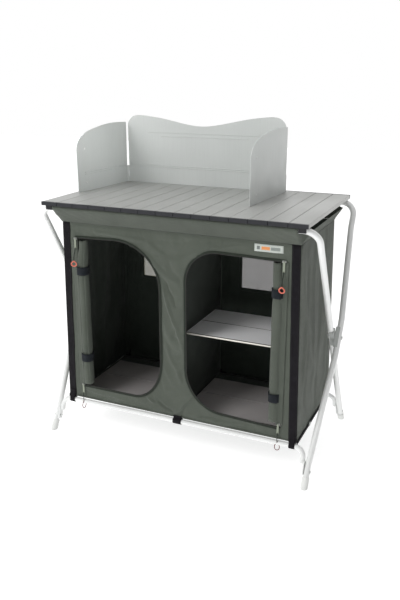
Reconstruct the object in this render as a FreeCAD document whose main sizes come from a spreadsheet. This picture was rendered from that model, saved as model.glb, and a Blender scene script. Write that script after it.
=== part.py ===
"""Folding camp kitchen: two crossing tube frames, a slatted roll-up top, a fabric cupboard
hung between the top rails, and a three-leaf windscreen standing on the top.

Frame: +X to the right, the front faces -Y, +Z up; the origin is on the ground under the
middle of the table. All sizes are millimetres.
"""
import FreeCAD, Part
import math
import os
import Sketcher
from FreeCAD import Placement, Rotation, Vector

SIZES = {
    # table top
    "table_width": 860, "table_depth": 512, "table_height": 810, "slat_thick": 11.5,
    "slat_count": 15, "slat_gap": 1.6, "slat_wall": 1.2, "cap_depth": 9,
    # crossing frames
    "tube_od": 19, "tube_wall": 1.2, "pivot_height": 405, "bar_top": 448.2, "bar_foot": 472.8,
    "half_span": 453, "hub_offset": 22.8, "bend_radius": 45, "lean": 31.05, "rail_end": 383,
    "foot_od": 23, "foot_length": 34, "bracket_length": 64, "bracket_sheet": 1.5,
    # bottom rails
    "low_rail_od": 16, "low_rail_z": 107, "low_rail_tilt": 19.5,
    "low_rail_half": 434.5, "low_bend_radius": 28, "flat_thick": 3.6, "flat_width": 22,
    "flat_length": 78, "flat_rivet": 68, "rivet_radius": 3, "rail_rivet_radius": 2.5,
    # fabric cupboard
    "cloth": 2.4, "front_y": 195, "seam_z": 738, "top_half": 396, "base_half": 411, "base_z": 119,
    "fascia_y": 243, "fascia_z": 790, "fascia_half": 398, "flap_half": 432,
    "hook_x": 410, "hook_width": 22, "hook_height": 15,
    "door_in": 47, "door_out": 357, "door_top": 688, "door_low": 166, "door_radius": 118,
    "roll_x": 333, "roll_radius": 19.6, "roll_y": 188.5, "roll_low": 180, "roll_neck": 649,
    "roll_high": 682, "neck_radius": 10, "neck_y": 184,
    "strap_top_left": 567, "strap_top_right": 576, "strap_low_left": 263, "strap_low_right": 245,
    "strap_height": 27,
    "window_in": 77, "window_out": 316, "window_low": 462, "window_high": 700,
    "webbing": 26, "webbing_thick": 1.5, "tab_height": 9, "middle_tab_left": -7,
    "middle_tab_right": 22,
    "label_left": 258, "label_right": 345, "label_low": 708, "label_high": 730,
    "slider_wide": 12, "slider_tall": 8, "slider_inset": 7, "slider_top_drop": 2,
    "slider_low_rise": 6, "pull_tab": 33, "pull_tab_wide": 5, "pull_tab_thick": 1.4,
    # boards
    "board_thick": 5, "floor_z": 122, "shelf_z": 389, "board_half_depth": 123, "board_half": 392,
    "board_gap": 1.5, "board_pin_radius": 1.2,
    # windscreen
    "screen_left": -386.5, "screen_right": 215.5, "screen_y": 222.5, "screen_sheet": 1.5,
    "screen_edge": 207, "hump_left": 237, "hump_right": 241.5, "screen_dip": 205,
    "wing_length": 296, "wing_tall": 215, "wing_front": 135, "wing_turn": -4.2,
    "barrel_radius": 3.2, "barrel_height": 58,
}

doc = FreeCAD.newDocument("camp_kitchen")
sheet = doc.addObject("Spreadsheet::Sheet", "Sizes")
for row, (alias, value) in enumerate(SIZES.items(), start=1):
    sheet.set(f"A{row}", alias.replace("_", " "))
    sheet.set(f"B{row}", str(value))
    sheet.setAlias(f"B{row}", alias)
doc.recompute()


def size(alias):
    """A driving dimension, read back from the sheet."""
    return float(sheet.get(alias))


def sheeted(expression):
    """Turns words of the sheet in an expression into references to its cells."""
    out = expression
    for alias in sorted(SIZES, key=len, reverse=True):
        out = out.replace("{" + alias + "}", "Sizes." + alias)
    return out


parts = []


def keep(feature, label, placement=None):
    """Names a finished sub-part and notes it for export."""
    feature.Label = label
    if placement is not None:
        feature.Placement = placement
    parts.append(feature)
    return feature


# ---------------------------------------------------------------- small builders

def box(x, y, z, name="block"):
    """A Part::Box between two expressions on each axis."""
    block = doc.addObject("Part::Box", name)
    for side, axis, (low, high) in zip(("Length", "Width", "Height"), "xyz", (x, y, z)):
        block.setExpression(side, sheeted(f"({high}) - ({low})"))
        block.setExpression(f"Placement.Base.{axis}", sheeted(low))
    return block


def rod(radius, length, base, direction, name="rod"):
    """A Part::Cylinder whose radius and length follow expressions."""
    bar = doc.addObject("Part::Cylinder", name)
    bar.setExpression("Radius", sheeted(radius))
    bar.setExpression("Height", sheeted(length))
    bar.Placement = Placement(Vector(*base), Rotation(Vector(0, 0, 1), Vector(*direction)))
    return bar


def cut(base, *tools):
    """Base with every tool taken away."""
    for tool in tools:
        piece = doc.addObject("Part::Cut", "cut")
        piece.Base, piece.Tool = base, tool
        base = piece
    return base


def fuse(*shapes):
    """One solid from touching shapes."""
    piece = doc.addObject("Part::MultiFuse", "joined")
    piece.Shapes = list(shapes)
    piece.Refine = True
    return piece


def group(*shapes):
    """Several separate solids kept in one sub-part."""
    piece = doc.addObject("Part::Compound", "group")
    piece.Links = list(shapes)
    return piece


def plane_of(body, role):
    return next(item for item in body.Origin.OriginFeatures if item.Role == role)


def new_sketch(body, role, name, offset=Placement()):
    sketch = body.newObject("Sketcher::SketchObject", name)
    sketch.AttachmentSupport = [(plane_of(body, role), "")]
    sketch.MapMode = "FlatFace"
    sketch.AttachmentOffset = offset
    return sketch


def outline(sketch, corners):
    """A closed outline whose corners are pairs of expressions, held by driven distances."""
    values = [tuple(sheet_value(axis) for axis in corner) for corner in corners]
    count = len(values)
    first = sketch.GeometryCount
    for index in range(count):
        start, end = values[index], values[(index + 1) % count]
        sketch.addGeometry(Part.LineSegment(Vector(*start, 0), Vector(*end, 0)))
    for index in range(count):
        following = first + (index + 1) % count
        sketch.addConstraint(Sketcher.Constraint("Coincident", first + index, 2, following, 1))
    for index, corner in enumerate(corners):
        for kind, text, value in zip(("DistanceX", "DistanceY"), corner, values[index]):
            rule = Sketcher.Constraint(kind, -1, 1, first + index, 1, value)
            number = sketch.addConstraint(rule)
            sketch.setExpression(f"Constraints[{number}]", sheeted(text))


def sheet_value(expression):
    """The present value of an expression made of sheet words."""
    text = expression
    for alias in sorted(SIZES, key=len, reverse=True):
        text = text.replace("{" + alias + "}", f"({size(alias)})")
    return FreeCAD.Units.Quantity(text).Value


def pad(body, sketch, length, symmetric=False, name="Pad", reverse=False):
    feature = body.newObject("PartDesign::Pad", name)
    feature.Profile = sketch
    feature.setExpression("Length", sheeted(length))
    feature.Midplane = symmetric
    feature.Reversed = reverse
    return feature


def slab(label, role, corners, length, offset=Placement(), symmetric=False):
    """A PartDesign body padded from one polygon."""
    body = doc.addObject("PartDesign::Body", label)
    sketch = new_sketch(body, role, "Outline", offset)
    outline(sketch, corners)
    pad(body, sketch, length, symmetric)
    return body


def bent_tube(name, half, drop, radius, outer, wall):
    """A tube bent into a wide U lying in its body's XZ plane, its middle run on the X axis."""
    body = doc.addObject("PartDesign::Body", name)
    path = new_sketch(body, "XZ_Plane", "Path")
    s = math.sqrt(0.5)
    side, low = half - radius, -radius
    path.addGeometry(Part.LineSegment(Vector(-half, -drop, 0), Vector(-half, low, 0)))
    path.addGeometry(Part.Arc(Vector(-half, low, 0), Vector(-side - radius * s, low + radius * s, 0),
                              Vector(-side, 0, 0)))
    path.addGeometry(Part.LineSegment(Vector(-side, 0, 0), Vector(side, 0, 0)))
    path.addGeometry(Part.Arc(Vector(side, 0, 0), Vector(side + radius * s, low + radius * s, 0),
                              Vector(half, low, 0)))
    path.addGeometry(Part.LineSegment(Vector(half, low, 0), Vector(half, -drop, 0)))
    ring = new_sketch(body, "XY_Plane", "Section", Placement(Vector(-half, 0, -drop), Rotation()))
    for diameter in (outer, outer - 2 * wall):
        number = ring.addGeometry(Part.Circle(Vector(0, 0, 0), Vector(0, 0, 1), diameter / 2))
        ring.addConstraint(Sketcher.Constraint("Coincident", number, 3, -1, 1))
        ring.addConstraint(Sketcher.Constraint("Diameter", number, diameter))
    pipe = body.newObject("PartDesign::AdditivePipe", "Pipe")
    pipe.Profile = ring
    pipe.Spine = (path, [f"Edge{i}" for i in range(1, 6)])
    return body


# ---------------------------------------------------------------- crossing frames

PIVOT = Vector(0, 0, size("pivot_height"))
TUBE, WALL = size("tube_od"), size("tube_wall")
SPAN, HUB = size("half_span"), size("half_span") + size("hub_offset")


def frame_placement(sign, offset=(0, 0, 0)):
    """The frame's own axes: its bars run along +Z from the pivot to the top rail."""
    turn = Rotation(Vector(1, 0, 0), sign * size("lean"))
    return Placement(PIVOT + turn.multVec(Vector(*offset)), turn)


def tube_run(start, end):
    """A straight length of the frame tube between two points."""
    start, end = Vector(*start), Vector(*end)
    run = end - start
    outer = doc.addObject("Part::Cylinder", "tube")
    inner = doc.addObject("Part::Cylinder", "bore")
    for bar, radius in ((outer, "{tube_od} / 2"), (inner, "{tube_od} / 2 - {tube_wall}")):
        bar.setExpression("Radius", sheeted(radius))
        bar.Height = run.Length
        bar.Placement = Placement(start, Rotation(Vector(0, 0, 1), run))
    return outer, inner


def mitred_leg(points):
    """Straight tube runs through the points, with a sphere rounding each gentle bend."""
    outers, inners = [], []
    for start, end in zip(points, points[1:]):
        outer, inner = tube_run(start, end)
        outers.append(outer)
        inners.append(inner)
    for point in points[1:-1]:
        for store, radius in ((outers, "{tube_od} / 2"), (inners, "{tube_od} / 2 - {tube_wall}")):
            ball = doc.addObject("Part::Sphere", "bend")
            ball.setExpression("Radius", sheeted(radius))
            ball.Placement.Base = Vector(*point)
            store.append(ball)
    if len(outers) == 1:
        return cut(outers[0], inners[0])
    return cut(fuse(*outers), fuse(*inners))


FOOT_END = size("bar_foot") - 8
# The bottom rail's flattened end hangs down to a rivet on the bar's own line.
TILT, LEAN = math.radians(size("low_rail_tilt")), math.radians(size("lean"))
RIVET_DROP = size("pivot_height") - size("low_rail_z") + size("flat_rivet") * math.cos(TILT)
RIVET_Z = -RIVET_DROP / math.cos(LEAN)
LOW_RAIL_Y = RIVET_DROP * math.tan(LEAN) - size("flat_rivet") * math.sin(TILT)
WORD = {-1: "left", 1: "right"}


def build_frame(name, sign, bowed):
    """One U frame: top rail, two legs, bottom rail, feet, hub brackets and rail rivets.

    sign +1 leans the top of the bars to the front, -1 to the rear.
    """
    end = "front" if sign > 0 else "rear"
    foot_end = "rear" if sign > 0 else "front"
    turned = frame_placement(sign)
    rail = bent_tube(f"top_rail_{end}", SPAN, size("bar_top") - size("rail_end"),
                     size("bend_radius"), TUBE, WALL)
    keep(rail, f"top_rail_{end}", frame_placement(sign, (0, 0, size("bar_top"))))
    rivets = []
    for side in (-1, 1):
        hub = side * (HUB if bowed else SPAN)
        top, foot = (side * SPAN, 0, size("rail_end")), (side * SPAN, 0, -FOOT_END)
        bow = [(side * SPAN, 0, size("rail_end") - 20), (hub, 0, 60), (hub, 0, -60),
               (side * SPAN, 0, 60 - FOOT_END)]
        points = [top, *bow, foot] if bowed else [top, foot]
        leg = mitred_leg(points)
        pin = rod("{rivet_radius} + 0.05", "60", (hub - 30, 0, 0), (1, 0, 0), "pivot_hole")
        low = rod("{rail_rivet_radius} + 0.05", "60", (side * SPAN - 30, 0, RIVET_Z), (1, 0, 0),
                  "rivet_hole")
        keep(cut(leg, pin, low), f"{name}_leg_{WORD[side]}", turned)
        keep(foot_cap(side, turned), f"{name}_foot_{WORD[side]}")
        keep(hub_bracket(hub, bowed, side), f"{name}_bracket_{WORD[side]}", turned)
        rivets.append(rail_rivet(side))
    keep(group(*rivets), f"{name}_rail_rivets", turned)
    keep(bottom_rail(f"bottom_rail_{foot_end}", sign), f"bottom_rail_{foot_end}")


def foot_cap(side, turned):
    """A blind plastic cap over the leg's end, its sole level with the ground."""
    length, reach = size("foot_length"), size("bar_foot") + 12
    cap = rod("{foot_od} / 2", "{foot_length} + 12", (side * SPAN, 0, -reach), (0, 0, 1), "cap")
    bore = rod("{tube_od} / 2 + 0.05", "{foot_length}", (side * SPAN, 0, -FOOT_END), (0, 0, 1), "seat")
    cap.Placement = turned.multiply(cap.Placement)
    bore.Placement = turned.multiply(bore.Placement)
    ground = box(("-600", "600"), ("-400", "400"), ("-80", "0"), "ground")
    return cut(cap, bore, ground)


def hub_bracket(hub, bowed, side):
    """A sheet channel over the bar where the frames cross, its web on the other frame's side.

    The web lies outboard of the straight legs and inboard of the bowed ones.
    """
    gap, sheet_t = 0.1, size("bracket_sheet")
    toward = -side if bowed else side
    reach = TUBE / 2 + gap
    near, far = hub + toward * reach, hub + toward * (reach + sheet_t)
    back = hub - toward * 2
    half = size("bracket_length") / 2
    wide = reach + sheet_t
    low, high = min(back, far), max(back, far)
    outer = box((f"{low}", f"{high}"), (f"-{wide}", f"{wide}"), (f"-{half}", f"{half}"), "channel")
    low, high = min(back - toward * 5, near), max(back - toward * 5, near)
    inner = box((f"{low}", f"{high}"), (f"-{reach}", f"{reach}"), (f"-{half} - 1", f"{half} + 1"), "inside")
    hole = rod("{rivet_radius} + 0.05", "80", (hub - 40, 0, 0), (1, 0, 0), "pivot_hole")
    return cut(outer, inner, hole)


def flat_centre():
    """The middle of a bottom rail's flattened end, which lies against the leg's inner side."""
    return SPAN - TUBE / 2 - 0.1 - size("flat_thick") / 2


def rail_rivet(side):
    """The rivet that holds a bottom rail's flattened end to its leg."""
    inner = flat_centre() - size("flat_thick") / 2 - 0.1
    outer = SPAN + TUBE / 2 + 0.1
    radius = "{rail_rivet_radius}"
    shank = rod(radius, f"{outer - inner}", (side * inner, 0, RIVET_Z), (side, 0, 0), "shank")
    heads = [rod("4.5", "1.6", (side * (inner - 1.6), 0, RIVET_Z), (side, 0, 0), "head"),
             rod("4.5", "1.6", (side * outer, 0, RIVET_Z), (side, 0, 0), "head")]
    return fuse(shank, *heads)


def bottom_rail(name, sign):
    """A thin U tube; its ends are pressed flat and riveted inside the legs."""
    half, radius, outer = size("low_rail_half"), size("low_bend_radius"), size("low_rail_od")
    tube = bent_tube(name + "_tube", half, radius + 18, radius, outer, WALL)
    flats = []
    for side in (-1, 1):
        centre = side * flat_centre()
        thick, wide = size("flat_thick") / 2, size("flat_width") / 2
        flat = box((f"{centre - thick}", f"{centre + thick}"), (f"-{wide}", f"{wide}"),
                   ("-{flat_length}", f"-{radius + 10}"), "flat")
        hole = rod("{rail_rivet_radius} + 0.05", "40", (centre - 20, 0, -size("flat_rivet")),
                   (1, 0, 0), "rivet_hole")
        flats.append(cut(flat, hole))
    rail = fuse(tube, *flats)
    turn = Rotation(Vector(1, 0, 0), sign * size("low_rail_tilt"))
    rail.Placement = Placement(Vector(0, sign * LOW_RAIL_Y, size("low_rail_z")), turn)
    return rail


build_frame("frame_a", 1, bowed=False)
build_frame("frame_b", -1, bowed=True)

for side in (-1, 1):
    inner, outer = SPAN - TUBE / 2 - 0.4, HUB + TUBE / 2 + 0.4
    start = (side * inner, 0, PIVOT.z)
    shank = rod("{rivet_radius}", f"{outer - inner}", start, (side, 0, 0), "shank")
    heads = [rod("6", "2.4", (side * (inner - 2.4), 0, PIVOT.z), (side, 0, 0), "head"),
             rod("6", "2.4", (side * outer, 0, PIVOT.z), (side, 0, 0), "head")]
    keep(fuse(shank, *heads), f"pivot_rivet_{WORD[side]}")

# ---------------------------------------------------------------- slatted top

TOP_LOW = size("table_height") - size("slat_thick")


def slat(index):
    """A hollow extruded slat with eased upper edges."""
    pitch = size("table_width") / size("slat_count")
    body = doc.addObject("PartDesign::Body", f"slat_{index + 1:02d}")
    sketch = new_sketch(body, "XZ_Plane", "Section")
    half, tall = f"({{table_width}} / {{slat_count}} - {{slat_gap}}) / 2", "{slat_thick}"
    outline(sketch, [(f"-{half}", "0"), (half, "0"), (half, f"{tall} - 1.2"),
                     (f"{half} - 1.2", tall), (f"-{half} + 1.2", tall), (f"-{half}", f"{tall} - 1.2")])
    wall = "{slat_wall}"
    outline(sketch, [(f"-{half} + {wall}", wall), (f"{half} - {wall}", wall),
                     (f"{half} - {wall}", f"{tall} - {wall}"), (f"-{half} + {wall}", f"{tall} - {wall}")])
    pad(body, sketch, "{table_depth} - 2 * {cap_depth}", symmetric=True)
    centre = -size("table_width") / 2 + (index + 0.5) * pitch
    body.Placement.Base = Vector(centre, 0, TOP_LOW)
    return body


def end_caps(front):
    """Plastic caps closing the slats' ends, one to a slat."""
    pitch = size("table_width") / size("slat_count")
    caps = []
    for index in range(int(size("slat_count"))):
        centre = -size("table_width") / 2 + (index + 0.5) * pitch
        half = f"({{table_width}} / {{slat_count}} - {{slat_gap}}) / 2"
        near, far = "{table_depth} / 2 - {cap_depth}", "{table_depth} / 2"
        y = (f"-({far})", f"-({near})") if front else (near, far)
        z = ("{table_height} - {slat_thick}", "{table_height}")
        caps.append(box((f"{centre} - {half}", f"{centre} + {half}"), y, z, "cap"))
    return group(*caps)


def table_hooks():
    """Plastic hooks under the slats' ends that hold the top rails from outside."""
    rail_y = size("bar_top") * math.sin(math.radians(size("lean")))
    hooks = []
    for side in (-1, 1):
        for end in (-1, 1):
            low, high = rail_y + TUBE / 2 + 0.5, rail_y + TUBE / 2 + 4.5
            y = (f"{end * low}", f"{end * high}") if end > 0 else (f"{-high}", f"{-low}")
            z = (f"{TOP_LOW} - {{hook_height}}", f"{TOP_LOW}")
            x = (f"{side} * {{hook_x}} - {{hook_width}} / 2", f"{side} * {{hook_x}} + {{hook_width}} / 2")
            hooks.append(box(x, y, z, "hook"))
    return group(*hooks)


slats = [slat(index) for index in range(int(size("slat_count")))]
keep(group(*slats), "slats")
keep(end_caps(front=True), "slat_caps_front")
keep(end_caps(front=False), "slat_caps_rear")
keep(table_hooks(), "table_hooks")

# ---------------------------------------------------------------- fabric cupboard

CLOTH = size("cloth")


def d_outline(side, grow):
    """A door opening: straight on its outer side, generously rounded towards the middle."""
    inner = side * (size("door_in") - grow)
    outer = side * (size("door_out") + grow)
    top, low = size("door_top") + grow, size("door_low") - grow
    radius = size("door_radius") + grow
    s = radius * (1 - math.sqrt(0.5))
    a = side * radius
    edges = [
        Part.LineSegment(Vector(outer, 0, low), Vector(outer, 0, top)),
        Part.LineSegment(Vector(outer, 0, top), Vector(inner + a, 0, top)),
        Part.Arc(Vector(inner + a, 0, top), Vector(inner + side * s, 0, top - s),
                 Vector(inner, 0, top - radius)),
        Part.LineSegment(Vector(inner, 0, top - radius), Vector(inner, 0, low + radius)),
        Part.Arc(Vector(inner, 0, low + radius), Vector(inner + side * s, 0, low + s),
                 Vector(inner + a, 0, low)),
        Part.LineSegment(Vector(inner + a, 0, low), Vector(outer, 0, low)),
    ]
    return Part.Face(Part.Wire([edge.toShape() for edge in edges]))


def d_block(side, grow, y_from, y_to):
    """The opening's outline carried through a wall."""
    block = doc.addObject("Part::Feature", "opening")
    face = d_outline(side, grow)
    face.translate(Vector(0, y_from, 0))
    block.Shape = face.extrude(Vector(0, y_to - y_from, 0))
    return block


def wall_outline(low="{base_z}"):
    """The cupboard seen from the front: a little wider at its base."""
    return [("-{base_half}", low), ("{base_half}", low), ("{top_half}", "{seam_z}"),
            ("-{top_half}", "{seam_z}")]


def front_at(y):
    """An offset that puts an XZ sketch at this y."""
    return Placement(Vector(0, 0, -y), Rotation())


FRONT = size("front_y")
front = slab("front_sheet", "XZ_Plane", wall_outline(), "{cloth}", front_at(-FRONT + CLOTH))
openings = [d_block(side, 0, -FRONT - 5, -FRONT + 8) for side in (-1, 1)]
keep(cut(front, *openings), "fabric_front")

back = slab("back_sheet", "XZ_Plane", wall_outline(), "{cloth}", front_at(FRONT))
windows, meshes = [], []
for side in (-1, 1):
    edges = sorted((side * size("window_in"), side * size("window_out")))
    x = (f"{edges[0]}", f"{edges[1]}")
    z = ("{window_low}", "{window_high}")
    windows.append(box(x, ("{front_y} - 8", "{front_y} + 5"), z, "window"))
    mesh_x = (f"{edges[0] + 0.3}", f"{edges[1] - 0.3}")
    mesh_z = ("{window_low} + 0.3", "{window_high} - 0.3")
    meshes.append(box(mesh_x, ("{front_y} - 1.6", "{front_y} - 0.8"), mesh_z, "mesh"))
keep(cut(back, *windows), "fabric_back")
keep(group(*meshes), "window_mesh")

for side in (-1, 1):
    s = "-" if side < 0 else ""
    corners = [(f"{s}({{base_half}} - {{cloth}})", "{base_z}"), (f"{s}{{base_half}}", "{base_z}"),
               (f"{s}{{top_half}}", "{seam_z}"), (f"{s}({{top_half}} - {{cloth}})", "{seam_z}")]
    wall = slab(f"side_{WORD[side]}", "XZ_Plane", corners, "2 * ({front_y} - {cloth}) - 0.6",
                symmetric=True)
    keep(wall, f"fabric_{WORD[side]}")
    flap = [(f"{s}({{top_half}} - 1)", "{seam_z} + 0.3"), (f"{s}({{top_half}} + 1)", "{seam_z} + 0.3"),
            (f"{s}({{flap_half}} + 1)", "{fascia_z}"), (f"{s}({{flap_half}} - 1)", "{fascia_z}")]
    keep(slab(f"flare_{WORD[side]}", "XZ_Plane", flap, "2 * ({front_y} - 3)", symmetric=True),
         f"fabric_flap_{WORD[side]}")

inside = "{front_y} - {cloth} - 0.3"
keep(box(("-({base_half} - {cloth} - 0.5)", "{base_half} - {cloth} - 0.5"), (f"-({inside})", inside),
         ("{base_z}", "{base_z} + 2")), "fabric_floor")
keep(box(("-1", "1"), (f"-({inside})", inside), ("{base_z} + 2", "{seam_z}")), "fabric_partition")

for end, s in (("front", "-"), ("rear", "")):
    band = [(f"{s}({{front_y}} - 1)", "{seam_z} + 0.3"), (f"{s}({{front_y}} + 1)", "{seam_z} + 0.3"),
            (f"{s}({{fascia_y}} - 2.5)", "{fascia_z} - 9"), (f"{s}({{fascia_y}} + 1)", "{fascia_z}"),
            (f"{s}({{fascia_y}} - 1)", "{fascia_z}"), (f"{s}({{fascia_y}} - 4.5)", "{fascia_z} - 9")]
    band_body = slab(f"fascia_{end}_sheet", "YZ_Plane", band, "2 * {fascia_half}", symmetric=True)
    keep(band_body, f"fascia_{end}")

UP = (0, 0, 1)
for side in (-1, 1):
    # The roll's top is drawn in behind the zip's run, so that the slider passes in front of it.
    x = side * size("roll_x")
    roll = rod("{roll_radius}", "{roll_neck} - {roll_low}", (x, -size("roll_y"), size("roll_low")), UP)
    neck = rod("{neck_radius}", "{roll_high} - {roll_neck} + 1",
               (x, -size("neck_y"), size("roll_neck") - 1), UP)
    keep(fuse(roll, neck), f"door_roll_{WORD[side]}")

bands = []
for side in (-1, 1):
    for spot in ("top", "low"):
        place = (side * size("roll_x"), -size("roll_y"), size(f"strap_{spot}_{WORD[side]}"))
        outer = rod("{roll_radius} + 1.8", "{strap_height}", place, UP, "band")
        inner = rod("{roll_radius} + 0.3", "{strap_height}", place, UP, "inside")
        bands.append(cut(outer, inner))
keep(group(*bands), "roll_straps")

for side in (-1, 1):
    band = d_block(side, 7, -FRONT - 1.4, -FRONT - 0.1)
    hole = d_block(side, 0.5, -FRONT - 5, -FRONT + 5)
    edges = sorted((side * (size("door_out") - 2), side * 500))
    open_side = box((f"{edges[0]}", f"{edges[1]}"), ("-250", "-150"),
                    ("{door_low} + 0.5", "{door_top} - 0.5"), "open_side")
    keep(cut(band, hole, open_side), f"zip_{WORD[side]}")


def rail_loop(x_low, x_high, end):
    """A webbing loop wrapped round a bottom rail."""
    y, z, outer = end * LOW_RAIL_Y, size("low_rail_z"), size("low_rail_od") / 2
    ring = rod(f"{outer + 1.8}", f"{x_high - x_low}", (x_low, y, z), (1, 0, 0), "loop")
    bore = rod(f"{outer + 0.3}", f"{x_high - x_low}", (x_low, y, z), (1, 0, 0), "bore")
    return cut(ring, bore)


def corner_webbing(end):
    """The flat webbing down each corner, the short one in the middle, and their rail loops."""
    width, thick = size("webbing"), size("webbing_thick")
    strips = []
    near = end * (FRONT + 0.1)
    y_from = near if end > 0 else near - thick
    for side in (-1, 1):
        top, low = side * (size("top_half") - 1), side * (size("base_half") - 1)
        corners = [(f"{low}", "{base_z} - 1"), (f"{low - side * width}", "{base_z} - 1"),
                   (f"{top - side * width}", "{seam_z}"), (f"{top}", "{seam_z}")]
        strips.append(slab("strip", "XZ_Plane", corners, "{webbing_thick}",
                           front_at(y_from + thick)))
        inner, outer = sorted((low - side * (width - 1), low - side * 6))
        strips.append(rail_loop(inner, outer, end))
    strips.append(box(("{middle_tab_left}", "{middle_tab_right}"), (f"{y_from}", f"{y_from + thick}"),
                      ("{base_z} - 1", "{base_z} - 1 + {tab_height}"), "tab"))
    strips.append(rail_loop(size("middle_tab_left"), size("middle_tab_right"), end))
    return group(*strips)


keep(corner_webbing(-1), "webbing_front")
keep(corner_webbing(1), "webbing_rear")
keep(box(("{label_left}", "{label_right}"), ("-{front_y} - 1", "-{front_y} - 0.1"),
         ("{label_low}", "{label_high}")), "label")

# ---------------------------------------------------------------- zip sliders

SLIDER_BACK, SLIDER_FACE = -FRONT - 1.7, -FRONT - 5


def zip_slider(side, z):
    """A slider on the zip's run with its pull tab hanging from it."""
    x = side * (size("door_out") - size("slider_inset"))
    body = box((f"{x} - {{slider_wide}} / 2", f"{x} + {{slider_wide}} / 2"),
               (f"{SLIDER_FACE}", f"{SLIDER_BACK}"),
               (f"{z} - {{slider_tall}} / 2", f"{z} + {{slider_tall}} / 2"), "slider")
    tab = box((f"{x} - {{pull_tab_wide}} / 2", f"{x} + {{pull_tab_wide}} / 2"),
              (f"{SLIDER_FACE}", f"{SLIDER_FACE} + {{pull_tab_thick}}"),
              (f"{z} - {{pull_tab}}", f"{z} - 3"), "tab")
    return fuse(body, tab)


for side in (-1, 1):
    for spot, z in (("top", size("door_top") - size("slider_top_drop")),
                    ("low", size("door_low") + size("slider_low_rise"))):
        keep(zip_slider(side, z), f"zip_slider_{spot}_{WORD[side]}")

# ---------------------------------------------------------------- boards

def board_half(front, low_x, high_x, height):
    """One half of a folding board, from the hinge line to its outer edge."""
    near, far = "{board_gap}", "{board_half_depth}"
    y = (f"-{far}", f"-{near}") if front else (near, far)
    return box((low_x, high_x), y, (height, f"{height} + {{board_thick}}"), "board")


def board_pin(low_x, high_x, height):
    """The hinge pin between a board's halves, level with their upper faces."""
    z = size(height) + size("board_thick") + 0.5
    return rod("{board_pin_radius}", f"{high_x - low_x}", (low_x, 0, z), (1, 0, 0), "pin")


HALF = size("board_half")
for end, front in (("front", True), ("rear", False)):
    floor = [board_half(front, "-{board_half}", "-6", "{floor_z}"),
             board_half(front, "6", "{board_half}", "{floor_z}")]
    keep(group(*floor), f"floor_board_{end}")
    keep(board_half(front, "6", "{board_half} - 8", "{shelf_z}"), f"shelf_board_{end}")
keep(group(board_pin(-HALF, -6, "floor_z"), board_pin(6, HALF, "floor_z")), "floor_board_pins")
keep(board_pin(6, HALF - 8, "shelf_z"), "shelf_board_pin")

# ---------------------------------------------------------------- windscreen

TABLE = size("table_height")
# Every leaf lies on the outer side of its hinge pins, so that the leaves fold flat together.
FAR = size("barrel_radius")
NEAR = FAR - size("screen_sheet")


def crest_line(points):
    """A smooth edge through (distance, height) points, each turned into a place by its maker."""
    curve = Part.BSplineCurve()
    curve.interpolate(points)
    return curve.toShape()


def back_leaf():
    """The tall back leaf: two humps with a dip between them, rounded at both ends."""
    left, right = size("screen_left") + 3.2, size("screen_right") - 3.2
    edge, dip = TABLE + size("screen_edge"), TABLE + size("screen_dip")
    hump, tall = TABLE + size("hump_left"), TABLE + size("hump_right")
    shape = [(0, edge), (0.04, hump - 3), (0.11, hump), (0.3, (hump + dip) / 2), (0.487, dip),
             (0.69, (dip + tall) / 2), (0.88, tall), (0.965, tall - 4), (1, edge + 5)]
    crest = crest_line([Vector(left + share * (right - left), 0, z) for share, z in shape])
    foot = TABLE + 0.2
    edges = [crest, Part.makeLine(Vector(right, 0, edge + 5), Vector(right, 0, foot)),
             Part.makeLine(Vector(right, 0, foot), Vector(left, 0, foot)),
             Part.makeLine(Vector(left, 0, foot), Vector(left, 0, edge))]
    leaf = doc.addObject("Part::Feature", "leaf")
    face = Part.Face(Part.Wire(edges))
    leaf.Shape = face.extrude(Vector(0, size("screen_sheet"), 0))
    leaf.Placement.Base = Vector(0, size("screen_y") + NEAR, 0)
    return leaf


def wing_leaf(side):
    """A side leaf whose top edge curves down to its front."""
    x = size("screen_left") if side < 0 else size("screen_right")
    tall, low, foot = TABLE + size("wing_tall"), TABLE + size("wing_front"), TABLE + 0.2
    shape = [(0.011, tall - 2), (0.35, tall), (0.67, tall - 11), (0.9, tall - 32), (0.975, tall - 52),
             (1, low)]
    points = [Vector(0, size("screen_y") - share * size("wing_length"), z) for share, z in shape]
    rear, front_edge = points[0].y, points[-1].y
    edges = [crest_line(points), Part.makeLine(points[-1], Vector(0, front_edge, foot)),
             Part.makeLine(Vector(0, front_edge, foot), Vector(0, rear, foot)),
             Part.makeLine(Vector(0, rear, foot), points[0])]
    leaf = doc.addObject("Part::Feature", "wing")
    leaf.Shape = Part.Face(Part.Wire(edges)).extrude(Vector(size("screen_sheet"), 0, 0))
    leaf.Placement.Base = Vector(x + NEAR if side > 0 else x - FAR, 0, 0)
    return leaf


def hinge_barrels(side):
    """The rolled knuckles at a corner: the back leaf's two outer ones, the wing's middle one."""
    x = size("screen_left") if side < 0 else size("screen_right")
    third = size("barrel_height") / 3
    knuckles = []
    for index in range(3):
        z = TABLE + 0.4 + index * third
        outer = rod("{barrel_radius}", f"{third - 0.4}", (x, size("screen_y"), z), (0, 0, 1), "knuckle")
        inner = rod("1.55", f"{third}", (x, size("screen_y"), z - 0.1), (0, 0, 1), "eye")
        knuckles.append(cut(outer, inner))
    return knuckles


def tongue(x, y, z):
    return box(tuple(map(str, x)), tuple(map(str, y)), tuple(map(str, z)), "tongue")


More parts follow.
